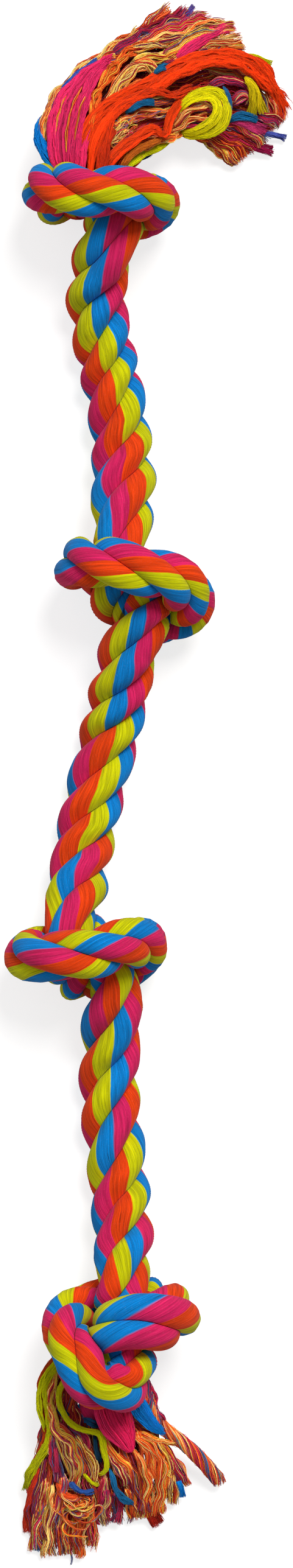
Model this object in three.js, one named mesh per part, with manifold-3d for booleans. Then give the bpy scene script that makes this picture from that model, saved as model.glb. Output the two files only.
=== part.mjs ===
// Rope dog toy: a thick three-strand cotton rope with four overhand knots and a
// frayed tassel at each end. Millimetres, +Z up, lying on the floor (Z = 0) with
// its length along Y and the upper tassel at +Y.
//
// Three strands (a, b, c) are laid together along one route. Every knot keeps its
// three strands as three separate solids. Each stretch of plain rope between two
// knots is split in two, so that it can swing at both knots and bend in its middle.
// At the ends the strands are unlaid into their coloured yarn bundles.

import * as THREE from 'three';
import { mergeVertices } from 'three/addons/utils/BufferGeometryUtils.js';
import Module from 'manifold-3d';

const wasm = await Module();
wasm.setup();

// ---------------------------------------------------------------- dimensions (mm)
const ROPE_DIAMETER = 32;            // nominal size of the laid rope, loose
const SPAN_STRAND_RADIUS = 5.85;     // a strand's core where the rope runs plain
const SPAN_HELIX_RADIUS = 8.33;      // strand centre to rope centre, plain rope
const SPAN_LAY = 68;                 // length of one full turn of a strand, plain rope
const KNOT_STRAND_RADIUS = 4.85;     // strands are drawn tighter inside a knot
const KNOT_HELIX_RADIUS = 6.5;
const KNOT_LAY = 110;
const KNOT_EASE = 20;                // rope length over which plain rope tightens into a knot
const STRAND_SIDES = 6;
const STRAND_STEP = 7.2;             // rope length per step of a plain strand
const KNOT_STRAND_STEP = 9.6;        // rope length per step of a knotted strand

const BUNDLE_RADIUS = 3.6;           // one colour's yarns of one strand, gathered
const BUNDLE_SIDES = 6;
const BUNDLE_STEPS = 8;

const SWING_LIMIT = 30;              // degrees, rope against knot, sideways
const BEND_LIMIT = 60;               // degrees, plain rope folding upwards in its middle
const JOINT_GAP = 0.35;              // half gap between two rope ends on a joint's axis
const JOINT_REACH = 15.6;            // radius that a joint's opening covers

// Route of the rope's centre line, from the upper tassel to the lower one.
const ROUTE = [
  [-26.3, 351.1, 31.3], [-26.5, 344.4, 33.4], [-27.2, 337.8, 35.7], [-28.8, 331.3, 37.6],
  [-30.5, 324.5, 38.3], [-32.0, 317.8, 37.3], [-33.0, 311.9, 33.8], [-32.6, 307.5, 28.4],
  [-30.2, 304.2, 22.8], [-26.0, 301.9, 17.7], [-20.5, 300.9, 13.6], [-14.1, 301.0, 10.7],
  [-7.4, 302.3, 9.5], [-0.7, 304.5, 9.7], [5.3, 307.2, 11.8], [10.2, 309.7, 16.1],
  [13.5, 312.1, 21.8], [15.1, 314.2, 28.2], [14.8, 316.2, 34.9], [12.8, 317.8, 41.3],
  [9.1, 319.2, 47.1], [4.3, 320.3, 52.1], [-1.0, 321.4, 56.5], [-7.0, 322.3, 60.0],
  [-13.6, 322.8, 62.2], [-20.5, 323.0, 63.2], [-27.5, 323.2, 63.1], [-34.5, 323.4, 62.2],
  [-41.0, 323.7, 59.9], [-46.7, 323.9, 55.9], [-51.1, 323.9, 50.4], [-53.8, 323.8, 44.0],
  [-54.7, 323.8, 37.1], [-53.7, 323.7, 30.2], [-51.1, 323.7, 23.7], [-47.2, 323.6, 17.9],
  [-42.0, 323.7, 13.2], [-35.7, 324.2, 10.4], [-28.8, 325.0, 10.2], [-22.3, 325.4, 12.6],
  [-16.7, 324.7, 16.7], [-12.2, 322.8, 21.6], [-9.2, 319.2, 26.7], [-7.9, 313.8, 30.9],
  [-8.4, 307.7, 34.4], [-10.4, 301.9, 37.6], [-13.5, 295.8, 38.8], [-16.7, 289.8, 37.3],
  [-19.3, 284.6, 33.5], [-21.4, 279.9, 28.7], [-22.8, 274.5, 24.5], [-23.3, 260.0, 17.9],
  [-20.8, 244.7, 14.0], [-17.4, 229.1, 12.7], [-14.1, 213.5, 12.5], [-11.3, 197.8, 13.2],
  [-9.4, 182.1, 15.6], [-8.6, 166.6, 19.6], [-8.7, 151.4, 24.4], [-9.1, 145.0, 27.4],
  [-9.8, 138.8, 30.5], [-10.8, 132.5, 33.3], [-11.7, 125.7, 34.8], [-12.3, 118.7, 35.1],
  [-14.1, 112.0, 35.0], [-16.0, 105.8, 32.6], [-16.1, 100.5, 28.0], [-14.2, 96.3, 22.8],
  [-10.5, 93.1, 17.9], [-5.2, 90.5, 14.1], [1.1, 88.8, 11.8], [8.0, 88.2, 11.0],
  [14.9, 88.6, 11.9], [21.2, 90.1, 14.5], [26.3, 92.1, 18.8], [29.9, 94.7, 24.2],
  [31.7, 97.5, 30.3], [31.6, 100.5, 36.6], [29.7, 103.4, 42.7], [26.1, 106.1, 48.0],
  [21.3, 108.6, 52.5], [16.1, 111.0, 56.4], [10.2, 113.1, 59.6], [3.8, 115.0, 61.7],
  [-2.9, 116.7, 62.5], [-9.7, 118.2, 61.8], [-16.4, 119.3, 59.9], [-22.7, 120.1, 57.1],
  [-28.4, 120.5, 53.2], [-32.9, 120.4, 47.8], [-35.7, 120.1, 41.4], [-36.7, 119.5, 34.6],
  [-36.0, 118.6, 27.7], [-33.5, 117.6, 21.2], [-29.4, 116.6, 15.6], [-23.9, 116.3, 11.5],
  [-17.2, 116.5, 9.6], [-10.2, 116.4, 9.6], [-3.5, 115.4, 11.2], [2.2, 113.8, 14.9],
  [6.2, 111.2, 20.0], [8.4, 107.7, 25.6], [8.8, 103.1, 30.7], [7.6, 97.4, 34.6],
  [5.2, 91.3, 37.0], [2.3, 85.0, 37.2], [-1.0, 79.1, 35.4], [-4.0, 73.8, 32.0],
  [-6.3, 68.4, 28.1], [-8.0, 62.4, 25.0], [-9.5, 56.1, 22.5], [-12.7, 41.3, 17.3],
  [-15.9, 26.0, 13.7], [-19.9, 10.6, 12.6], [-23.9, -4.9, 12.5], [-27.5, -20.5, 13.1],
  [-30.4, -35.9, 16.0], [-32.7, -50.8, 21.4], [-35.4, -64.7, 28.6], [-37.0, -70.2, 32.7],
  [-38.6, -76.2, 35.8], [-39.9, -83.0, 37.2], [-40.3, -89.9, 37.3], [-40.1, -96.8, 36.0],
  [-39.6, -102.6, 32.4], [-37.8, -106.6, 26.9], [-34.5, -108.8, 21.2], [-30.0, -109.4, 15.9],
  [-24.3, -108.8, 11.9], [-17.8, -107.2, 9.8], [-11.3, -104.8, 9.4], [-5.3, -101.3, 10.1],
  [-0.1, -97.6, 12.8], [3.9, -94.3, 17.4], [6.4, -91.5, 23.4], [7.1, -89.3, 29.9],
  [6.0, -87.8, 36.7], [3.3, -87.2, 43.1], [-0.8, -87.6, 48.7], [-5.8, -88.8, 53.4],
  [-11.3, -90.3, 57.4], [-17.4, -91.9, 60.4], [-24.0, -93.5, 62.0], [-30.9, -94.9, 62.5],
  [-37.8, -95.7, 61.9], [-44.7, -96.0, 60.7], [-51.2, -96.0, 58.2], [-56.7, -96.0, 53.9],
  [-60.9, -96.0, 48.3], [-63.3, -95.8, 41.8], [-63.8, -95.2, 34.8], [-62.5, -94.5, 28.0],
  [-59.4, -93.4, 21.9], [-54.9, -92.1, 16.7], [-49.3, -90.4, 12.9], [-42.9, -88.3, 11.1],
  [-36.3, -86.3, 11.8], [-29.9, -85.1, 14.4], [-24.2, -85.3, 18.4], [-19.9, -87.0, 23.5],
  [-17.1, -90.9, 28.5], [-15.3, -96.7, 31.9], [-14.0, -103.4, 33.6], [-13.3, -110.3, 33.6],
  [-13.5, -117.1, 32.0], [-14.3, -123.3, 28.8], [-15.0, -129.2, 25.1], [-15.5, -135.4, 21.9],
  [-16.3, -150.3, 16.2], [-16.5, -166.0, 13.2], [-15.6, -181.9, 12.5], [-13.7, -197.8, 12.5],
  [-11.8, -213.7, 13.3], [-10.3, -229.3, 16.4], [-9.0, -244.7, 20.5], [-8.4, -259.8, 25.6],
  [-8.8, -265.9, 29.0], [-9.3, -272.0, 32.4], [-10.0, -278.5, 34.8], [-10.3, -285.4, 35.2],
  [-9.2, -291.9, 33.0], [-7.0, -297.8, 30.0], [-4.2, -304.0, 28.4], [-1.2, -310.1, 29.6],
  [0.5, -316.2, 32.7], [0.9, -321.4, 37.3], [-0.1, -325.5, 42.8], [-2.8, -328.7, 48.4],
  [-6.9, -330.9, 53.6], [-12.0, -332.2, 58.2], [-17.9, -332.3, 62.0], [-23.9, -329.9, 64.5],
  [-28.5, -324.9, 65.4], [-32.6, -319.2, 65.5], [-36.7, -313.8, 63.8], [-39.7, -308.7, 60.1],
  [-41.1, -304.0, 55.1], [-41.3, -300.4, 49.2], [-40.6, -298.0, 42.6], [-39.5, -296.2, 36.0],
  [-38.1, -294.1, 29.4], [-35.8, -291.7, 23.3], [-31.9, -289.4, 18.0], [-26.5, -287.5, 13.9],
  [-20.2, -286.3, 11.3], [-13.4, -285.3, 9.8], [-6.5, -284.7, 9.5], [0.4, -285.2, 10.5],
  [6.6, -286.2, 13.5], [11.6, -287.5, 18.2], [15.0, -289.1, 24.1], [16.8, -290.6, 30.6],
  [17.3, -292.0, 37.5], [16.5, -293.1, 44.3], [14.6, -294.1, 51.0], [10.9, -294.9, 56.8],
  [5.5, -295.6, 61.2], [-0.8, -296.3, 64.1], [-7.5, -297.9, 64.8], [-13.3, -300.4, 61.9],
  [-16.0, -303.0, 56.1], [-17.2, -307.1, 50.6], [-20.0, -311.4, 45.8], [-22.8, -314.5, 40.3],
  [-24.2, -317.1, 34.0], [-23.3, -320.4, 27.9], [-21.9, -324.9, 22.8], [-21.5, -330.7, 18.8],
  [-21.2, -337.1, 16.0], [-21.1, -343.9, 14.2], [-20.9, -350.7, 13.0], [-20.9, -351.6, 12.9],
];

// Distances along the route where one body ends and the next begins.
const CUT = { start: 10.0, knot1Out: 334.0, span1Mid: 407.5, knot2In: 481.0, knot2Out: 826.0, span2Mid: 897.2, knot3In: 968.3, knot3Out: 1299.3, span3Mid: 1370.5, knot4In: 1441.6, end: 1816.9 };

// Axes of the joints: where along the route, and whether the rope swings sideways
// there (about a vertical axis) or bends up and down (about a level axis).
const JOINTS = [
  { at: CUT.knot1Out, kind: 'swing' },
  { at: CUT.span1Mid, kind: 'bend' },
  { at: CUT.knot2In, kind: 'swing' },
  { at: CUT.knot2Out, kind: 'swing' },
  { at: CUT.span2Mid, kind: 'bend' },
  { at: CUT.knot3In, kind: 'swing' },
  { at: CUT.knot3Out, kind: 'swing' },
  { at: CUT.span3Mid, kind: 'bend' },
  { at: CUT.knot4In, kind: 'swing' },
];

// Yarn bundles of the two tassels: name, colour and centre line.
const TASSEL_TOP = [
  { name: 'tassel_top_blue_a', colour: 'blue', line: [[-50.3, 355.1, 42.2], [-47.0, 366.6, 39.7], [-40.8, 376.7, 33.8], [-32.0, 384.7, 26.3], [-22.3, 391.7, 19.2], [-12.3, 398.3, 14.4], [-1.9, 404.2, 13.5], [8.5, 410.0, 13.5], [19.1, 415.7, 13.5], [29.7, 421.1, 13.5]] },
  { name: 'tassel_top_pink_a', colour: 'pink', line: [[-40.6, 355.1, 42.2], [-36.5, 365.1, 40.2], [-30.1, 373.7, 35.1], [-22.0, 380.9, 28.5], [-13.0, 386.8, 21.7], [-3.3, 391.7, 16.2], [6.6, 396.0, 13.6], [16.7, 399.9, 13.5], [26.9, 403.3, 13.5], [37.3, 406.2, 13.5], [47.7, 409.1, 13.5]] },
  { name: 'tassel_top_pink_b', colour: 'pink', line: [[-30.9, 355.1, 42.2], [-25.7, 365.8, 39.8], [-17.1, 373.9, 33.8], [-6.6, 379.5, 26.4], [4.6, 383.5, 19.2], [16.1, 386.8, 14.4], [27.7, 389.3, 13.5], [39.5, 391.2, 13.5], [51.3, 392.8, 13.5], [63.1, 394.4, 13.5]] },
  { name: 'tassel_top_orange_a', colour: 'orange', line: [[-21.3, 355.1, 42.2], [-15.1, 364.5, 40.0], [-5.7, 370.6, 34.6], [5.3, 373.5, 27.5], [16.5, 375.4, 20.5], [27.8, 376.8, 15.3], [39.1, 377.8, 13.5], [50.4, 378.4, 13.5], [61.7, 378.9, 13.5], [73.1, 379.4, 13.5]] },
  { name: 'tassel_top_orange_b', colour: 'orange', line: [[-11.6, 355.1, 42.2], [-3.5, 362.7, 40.0], [7.3, 365.1, 34.8], [18.5, 365.4, 27.8], [29.7, 365.2, 20.9], [40.9, 364.8, 15.6], [52.1, 364.1, 13.5], [63.2, 363.2, 13.5], [74.4, 362.4, 13.5]] },
  { name: 'tassel_top_yellow_a', colour: 'yellow', line: [[-1.9, 355.1, 42.2], [8.2, 357.3, 40.3], [18.7, 356.6, 35.5], [29.2, 355.5, 29.0], [39.4, 352.8, 22.4], [48.1, 347.0, 16.8], [56.4, 340.4, 13.7]] },
  { name: 'tassel_top_blue_b', colour: 'blue', line: [[-50.3, 355.1, 32.5], [-47.0, 366.6, 30.1], [-40.8, 376.7, 24.1], [-32.0, 384.7, 16.5], [-22.3, 391.7, 9.3], [-12.3, 398.3, 4.6], [-1.9, 404.2, 3.7], [8.5, 410.0, 3.7], [19.1, 415.7, 3.7], [29.7, 421.1, 3.7]] },
  { name: 'tassel_top_pink_c', colour: 'pink', line: [[-40.6, 355.1, 32.5], [-36.5, 365.1, 30.5], [-30.1, 373.7, 25.4], [-22.0, 380.9, 18.7], [-13.0, 386.8, 11.9], [-3.3, 391.7, 6.4], [6.6, 396.0, 3.7], [16.7, 399.9, 3.7], [26.9, 403.3, 3.7], [37.3, 406.2, 3.7], [47.7, 409.1, 3.7]] },
  { name: 'tassel_top_orange_c', colour: 'orange', line: [[-30.9, 355.1, 32.5], [-25.7, 365.8, 30.1], [-17.1, 373.9, 24.1], [-6.6, 379.5, 16.6], [4.6, 383.5, 9.4], [16.1, 386.8, 4.6], [27.7, 389.3, 3.7], [39.5, 391.2, 3.7], [51.3, 392.8, 3.7], [63.1, 394.4, 3.7]] },
  { name: 'tassel_top_yellow_b', colour: 'yellow', line: [[-21.3, 355.1, 32.5], [-15.1, 364.5, 30.3], [-5.7, 370.6, 24.8], [5.3, 373.5, 17.7], [16.5, 375.4, 10.7], [27.8, 376.8, 5.5], [39.1, 377.8, 3.7], [50.4, 378.4, 3.7], [61.7, 378.9, 3.7], [73.1, 379.4, 3.7]] },
  { name: 'tassel_top_blue_c', colour: 'blue', line: [[-11.6, 355.1, 32.5], [-3.5, 362.7, 30.4], [7.3, 365.1, 25.1], [18.5, 365.4, 18.1], [29.7, 365.2, 11.1], [40.9, 364.8, 5.7], [52.1, 364.1, 3.7], [63.2, 363.2, 3.7], [74.4, 362.4, 3.7]] },
  { name: 'tassel_top_yellow_c', colour: 'yellow', line: [[-1.9, 355.1, 32.5], [8.2, 357.3, 30.6], [18.7, 356.6, 25.8], [29.2, 355.5, 19.3], [39.4, 352.8, 12.6], [48.1, 347.0, 7.0], [56.4, 340.4, 3.9]] },
];
const TASSEL_BOTTOM = [
  { name: 'tassel_bottom_yellow_a', colour: 'yellow', line: [[-43.6, -354.2, 22.2], [-47.5, -364.9, 20.7], [-51.3, -375.7, 17.5], [-54.5, -386.6, 14.5], [-56.8, -397.7, 13.5], [-58.9, -408.9, 13.5]] },
  { name: 'tassel_bottom_orange_a', colour: 'orange', line: [[-34.6, -354.2, 22.2], [-37.6, -365.1, 20.7], [-40.0, -376.0, 17.6], [-41.8, -387.1, 14.6], [-43.2, -398.2, 13.5], [-44.4, -409.4, 13.5], [-45.6, -420.6, 13.5]] },
  { name: 'tassel_bottom_pink_a', colour: 'pink', line: [[-25.6, -354.2, 22.2], [-26.9, -365.8, 20.6], [-28.1, -377.4, 17.3], [-29.3, -389.0, 14.3], [-30.3, -400.7, 13.5], [-31.3, -412.3, 13.5], [-32.3, -423.9, 13.5]] },
  { name: 'tassel_bottom_pink_b', colour: 'pink', line: [[-16.3, -354.2, 22.2], [-15.8, -364.5, 20.9], [-15.5, -374.8, 18.2], [-15.2, -385.1, 15.2], [-14.3, -395.4, 13.6], [-12.9, -405.6, 13.5]] },
  { name: 'tassel_bottom_blue_a', colour: 'blue', line: [[-7.3, -354.2, 22.2], [-4.2, -364.8, 20.8], [-1.8, -375.5, 17.7], [0.6, -386.2, 14.8], [3.7, -396.8, 13.5], [7.1, -407.2, 13.5]] },
  { name: 'tassel_bottom_orange_b', colour: 'orange', line: [[1.7, -354.2, 22.2], [10.9, -359.2, 20.9], [19.6, -365.0, 18.1], [28.1, -371.1, 15.1], [36.8, -376.8, 13.5], [45.7, -382.2, 13.5]] },
  { name: 'tassel_bottom_yellow_b', colour: 'yellow', line: [[-43.6, -354.2, 12.5], [-47.5, -364.9, 11.0], [-51.3, -375.7, 7.7], [-54.5, -386.6, 4.7], [-56.8, -397.7, 3.7], [-58.9, -408.9, 3.7]] },
  { name: 'tassel_bottom_orange_c', colour: 'orange', line: [[-34.6, -354.2, 12.5], [-37.6, -365.1, 11.0], [-40.0, -376.0, 7.8], [-41.8, -387.1, 4.8], [-43.2, -398.2, 3.7], [-44.4, -409.4, 3.7], [-45.6, -420.6, 3.7]] },
  { name: 'tassel_bottom_blue_b', colour: 'blue', line: [[-25.6, -354.2, 12.5], [-26.9, -365.8, 10.9], [-28.1, -377.4, 7.6], [-29.3, -389.0, 4.5], [-30.3, -400.7, 3.7], [-31.3, -412.3, 3.7], [-32.3, -423.9, 3.7]] },
  { name: 'tassel_bottom_yellow_c', colour: 'yellow', line: [[-16.3, -354.2, 12.5], [-15.8, -364.5, 11.2], [-15.5, -374.8, 8.4], [-15.2, -385.1, 5.4], [-14.3, -395.4, 3.7], [-12.9, -405.6, 3.7]] },
  { name: 'tassel_bottom_pink_c', colour: 'pink', line: [[-7.3, -354.2, 12.5], [-4.2, -364.8, 11.1], [-1.8, -375.5, 8.0], [0.6, -386.2, 4.9], [3.7, -396.8, 3.7], [7.1, -407.2, 3.7]] },
  { name: 'tassel_bottom_blue_c', colour: 'blue', line: [[1.7, -354.2, 12.5], [8.4, -363.0, 11.1], [14.3, -372.2, 8.0], [20.5, -381.3, 4.9], [27.7, -389.6, 3.7]] },
];

const COLOURS = { pink: 0xd8336b, orange: 0xf4561f, yellow: 0xc9cf1e, blue: 0x2a86c4 };
const STRAND_COLOURS = { a: 0xd8336b, b: 0xe8801f, c: 0x2a86c4 };

// ---------------------------------------------------------------- route and lay
const route = new THREE.CatmullRomCurve3(ROUTE.map((p) => new THREE.Vector3(...p)), false, 'centripetal');
route.arcLengthDivisions = 6000;
const routeLength = route.getLength();
const STATIONS = 2400;
const frames = route.computeFrenetFrames(STATIONS, false);

const smoothstep = (x) => { const t = Math.min(1, Math.max(0, x)); return t * t * (3 - 2 * t); };

// 0 on plain rope, 1 inside a knot
function tightness(s) {
  const knots = [[CUT.start, CUT.knot1Out], [CUT.knot2In, CUT.knot2Out], [CUT.knot3In, CUT.knot3Out], [CUT.knot4In, CUT.end]];
  let f = 0;
  for (const [a, b] of knots) f = Math.max(f, Math.min((s - a) / KNOT_EASE, (b - s) / KNOT_EASE));
  return smoothstep(f);
}

// turn of the strands about the rope, added up along the route (right-handed lay)
const turn = new Float64Array(STATIONS + 1);
for (let i = 1; i <= STATIONS; i++) {
  const s = ((i - 0.5) / STATIONS) * routeLength;
  const lay = SPAN_LAY + (KNOT_LAY - SPAN_LAY) * tightness(s);
  turn[i] = turn[i - 1] + (2 * Math.PI * routeLength) / STATIONS / lay;
}

function strandPoint(s, phase) {
  const x = Math.min(STATIONS - 1e-6, Math.max(0, (s / routeLength) * STATIONS));
  const i = Math.floor(x), f = x - i;
  const n = frames.normals[i].clone().lerp(frames.normals[i + 1], f).normalize();
  const b = frames.binormals[i].clone().lerp(frames.binormals[i + 1], f).normalize();
  const phi = turn[i] * (1 - f) + turn[i + 1] * f + phase;
  const r = SPAN_HELIX_RADIUS + (KNOT_HELIX_RADIUS - SPAN_HELIX_RADIUS) * tightness(s);
  return route.getPointAt(s / routeLength).addScaledVector(n, r * Math.cos(phi)).addScaledVector(b, r * Math.sin(phi));
}

// ---------------------------------------------------------------- solids
function polygon(sides, radius) {
  const shape = new THREE.Shape();
  for (let i = 0; i < sides; i++) {
    const a = (2 * Math.PI * (i + 0.5)) / sides;
    if (i === 0) shape.moveTo(radius * Math.cos(a), radius * Math.sin(a));
    else shape.lineTo(radius * Math.cos(a), radius * Math.sin(a));
  }
  shape.closePath();
  return shape;
}

function tube(points, radius, sides, steps) {
  const path = new THREE.CatmullRomCurve3(points, false, 'centripetal');
  return new THREE.ExtrudeGeometry(polygon(sides, radius), { steps, bevelEnabled: false, extrudePath: path });
}

function toSolid(geometry) {
  const g = geometry.index ? geometry.toNonIndexed() : geometry.clone();
  for (const name of Object.keys(g.attributes)) if (name !== 'position') g.deleteAttribute(name);
  const merged = mergeVertices(g, 1e-4);
  const triVerts = new Uint32Array(merged.index.array);
  const vertProperties = new Float32Array(merged.attributes.position.array);
  let solid = new wasm.Manifold(new wasm.Mesh({ numProp: 3, vertProperties, triVerts }));
  if (solid.volume() < 0) {
    for (let i = 0; i < triVerts.length; i += 3) [triVerts[i], triVerts[i + 1]] = [triVerts[i + 1], triVerts[i]];
    solid = new wasm.Manifold(new wasm.Mesh({ numProp: 3, vertProperties, triVerts }));
  }
  return solid;
}

function toGeometry(solid) {
  const mesh = solid.getMesh();
  const g = new THREE.BufferGeometry();
  const n = mesh.numProp, count = mesh.vertProperties.length / n;
  const position = new Float32Array(count * 3);
  for (let i = 0; i < count; i++) for (let k = 0; k < 3; k++) position[3 * i + k] = mesh.vertProperties[n * i + k];
  g.setAttribute('position', new THREE.BufferAttribute(position, 3));
  g.setIndex(new THREE.BufferAttribute(new Uint32Array(mesh.triVerts), 1));
  g.computeVertexNormals();
  return g;
}

// the room that a joint's other side needs: an opening with its ridge on the joint's axis
function jointOpening(joint, side) {
  const u = joint.at / routeLength;
  const pivot = route.getPointAt(u);
  const t = route.getTangentAt(u);
  const axis = new THREE.Vector3(0, 0, 1);
  if (joint.kind === 'bend') axis.crossVectors(t, new THREE.Vector3(0, 0, 1)).normalize();
  t.addScaledVector(axis, -t.dot(axis)).normalize().multiplyScalar(side);
  const n = new THREE.Vector3().crossVectors(axis, t);
  const half = THREE.MathUtils.degToRad((joint.kind === 'bend' ? BEND_LIMIT : SWING_LIMIT) / 2 + 1.5);
  const R = JOINT_REACH, back = JOINT_GAP + R * Math.tan(half);
  // a swing goes both ways; a bend closes only on its upper side
  const low = joint.kind === 'bend' && side > 0 ? JOINT_GAP : back;
  const high = joint.kind === 'bend' && side < 0 ? JOINT_GAP : back;
  const outline = [[-low, -R], [14, -R], [14, R], [-high, R], [-JOINT_GAP, 0]];
  const shape = new THREE.Shape(outline.map((p) => new THREE.Vector2(...p)));
  const g = new THREE.ExtrudeGeometry(shape, { depth: 2 * R + 8, bevelEnabled: false });
  g.translate(0, 0, -R - 4);
  g.applyMatrix4(new THREE.Matrix4().makeBasis(t, n, axis).setPosition(pivot));
  return toSolid(g);
}

// everything below the floor
const underFloor = toSolid(new THREE.BoxGeometry(1200, 1400, 60).translate(0, 0, -30));

const toy = new THREE.Group();

function add(name, solid, colour) {
  const material = new THREE.MeshStandardMaterial({ color: colour, roughness: 0.92, metalness: 0 });
  const mesh = new THREE.Mesh(toGeometry(solid), material);
  mesh.name = name;
  toy.add(mesh);
}

// three strands from one cut to the next, opened at the joints at either end
function ropeBody(name, from, to, inKnot, first, last) {
  const radius = inKnot ? KNOT_STRAND_RADIUS : SPAN_STRAND_RADIUS;
  const step = inKnot ? KNOT_STRAND_STEP : STRAND_STEP;
  const a = from - (first ? 3 : 0), b = to + (last ? 3 : 0);
  const samples = Math.max(12, Math.ceil((b - a) / 3));
  ['a', 'b', 'c'].forEach((letter, k) => {
    const points = [];
    for (let i = 0; i <= samples; i++) points.push(strandPoint(a + ((b - a) * i) / samples, (2 * Math.PI * k) / 3));
    let solid = toSolid(tube(points, radius, STRAND_SIDES, Math.max(6, Math.round((b - a) / step))));
    if (first) solid = solid.subtract(jointOpening(first, -1));
    if (last) solid = solid.subtract(jointOpening(last, 1));
    if (solid.boundingBox().min[2] < 0) solid = solid.subtract(underFloor);
    add(`${name}_strand_${letter}`, solid, STRAND_COLOURS[letter]);
  });
}

const J = JOINTS;
ropeBody('knot_1', CUT.start, CUT.knot1Out, true, null, J[0]);
ropeBody('span_1_upper', CUT.knot1Out, CUT.span1Mid, false, J[0], J[1]);
ropeBody('span_1_lower', CUT.span1Mid, CUT.knot2In, false, J[1], J[2]);
ropeBody('knot_2', CUT.knot2In, CUT.knot2Out, true, J[2], J[3]);
ropeBody('span_2_upper', CUT.knot2Out, CUT.span2Mid, false, J[3], J[4]);
ropeBody('span_2_lower', CUT.span2Mid, CUT.knot3In, false, J[4], J[5]);
ropeBody('knot_3', CUT.knot3In, CUT.knot3Out, true, J[5], J[6]);
ropeBody('span_3_upper', CUT.knot3Out, CUT.span3Mid, false, J[6], J[7]);
ropeBody('span_3_lower', CUT.span3Mid, CUT.knot4In, false, J[7], J[8]);
ropeBody('knot_4', CUT.knot4In, CUT.end, true, J[8], null);

for (const { name, colour, line } of [...TASSEL_TOP, ...TASSEL_BOTTOM]) {
  const points = line.map((p) => new THREE.Vector3(...p));
  let solid = toSolid(tube(points, BUNDLE_RADIUS, BUNDLE_SIDES, BUNDLE_STEPS));
  if (solid.boundingBox().min[2] < 0) solid = solid.subtract(underFloor);
  add(name, solid, COLOURS[colour]);
}

export default toy;
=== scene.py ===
"""The looks of a knotted rope dog toy: one three-strand cotton rope with four knots, frayed at both ends."""

import math

import bpy
import numpy as np
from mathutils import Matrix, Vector


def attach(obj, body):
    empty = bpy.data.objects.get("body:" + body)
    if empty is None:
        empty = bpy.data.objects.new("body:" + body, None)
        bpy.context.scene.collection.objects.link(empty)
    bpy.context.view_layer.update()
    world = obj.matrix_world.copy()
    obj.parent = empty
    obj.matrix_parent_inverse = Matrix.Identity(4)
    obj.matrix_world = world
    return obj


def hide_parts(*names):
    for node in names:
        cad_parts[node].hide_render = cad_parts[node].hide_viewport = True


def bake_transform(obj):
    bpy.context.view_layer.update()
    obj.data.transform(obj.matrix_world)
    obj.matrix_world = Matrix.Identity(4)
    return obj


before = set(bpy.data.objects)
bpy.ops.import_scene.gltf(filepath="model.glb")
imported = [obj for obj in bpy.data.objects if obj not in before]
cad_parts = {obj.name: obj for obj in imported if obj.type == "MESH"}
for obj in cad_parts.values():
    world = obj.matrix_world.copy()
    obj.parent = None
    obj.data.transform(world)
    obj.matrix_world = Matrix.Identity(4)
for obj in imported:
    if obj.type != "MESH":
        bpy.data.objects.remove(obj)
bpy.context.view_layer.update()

# ------------------------------------------------------------------ drawing
# The toy is drawn in units of a third of a millimetre: x to the right, y down the toy, z up from the floor.
UNIT = 1 / 3000
ORIGIN = (228.81, 1283.3, 4.0)
VIEW_CENTRE = (240.5, 1288.0)
VIEW_TALL = 2576 * UNIT
LENS, SENSOR = 200.0, 36.0
MID_HEIGHT = 0.028
DISTANCE = LENS / SENSOR * VIEW_TALL
FLOOR = ORIGIN[2] + 0.7


def place(p):
    """Drawing units to metres in the row frame. What stands nearer to the camera is drawn in a little."""
    p = np.asarray(p, float)
    z = (np.maximum(p[..., 2], FLOOR) - ORIGIN[2]) * UNIT
    near = 1 - (z - MID_HEIGHT) / DISTANCE
    x = (p[..., 0] - VIEW_CENTRE[0]) * near + VIEW_CENTRE[0] - ORIGIN[0]
    y = (VIEW_CENTRE[1] - p[..., 1]) * near + ORIGIN[1] - VIEW_CENTRE[1]
    return np.stack([x * UNIT, y * UNIT, z], -1)


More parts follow.
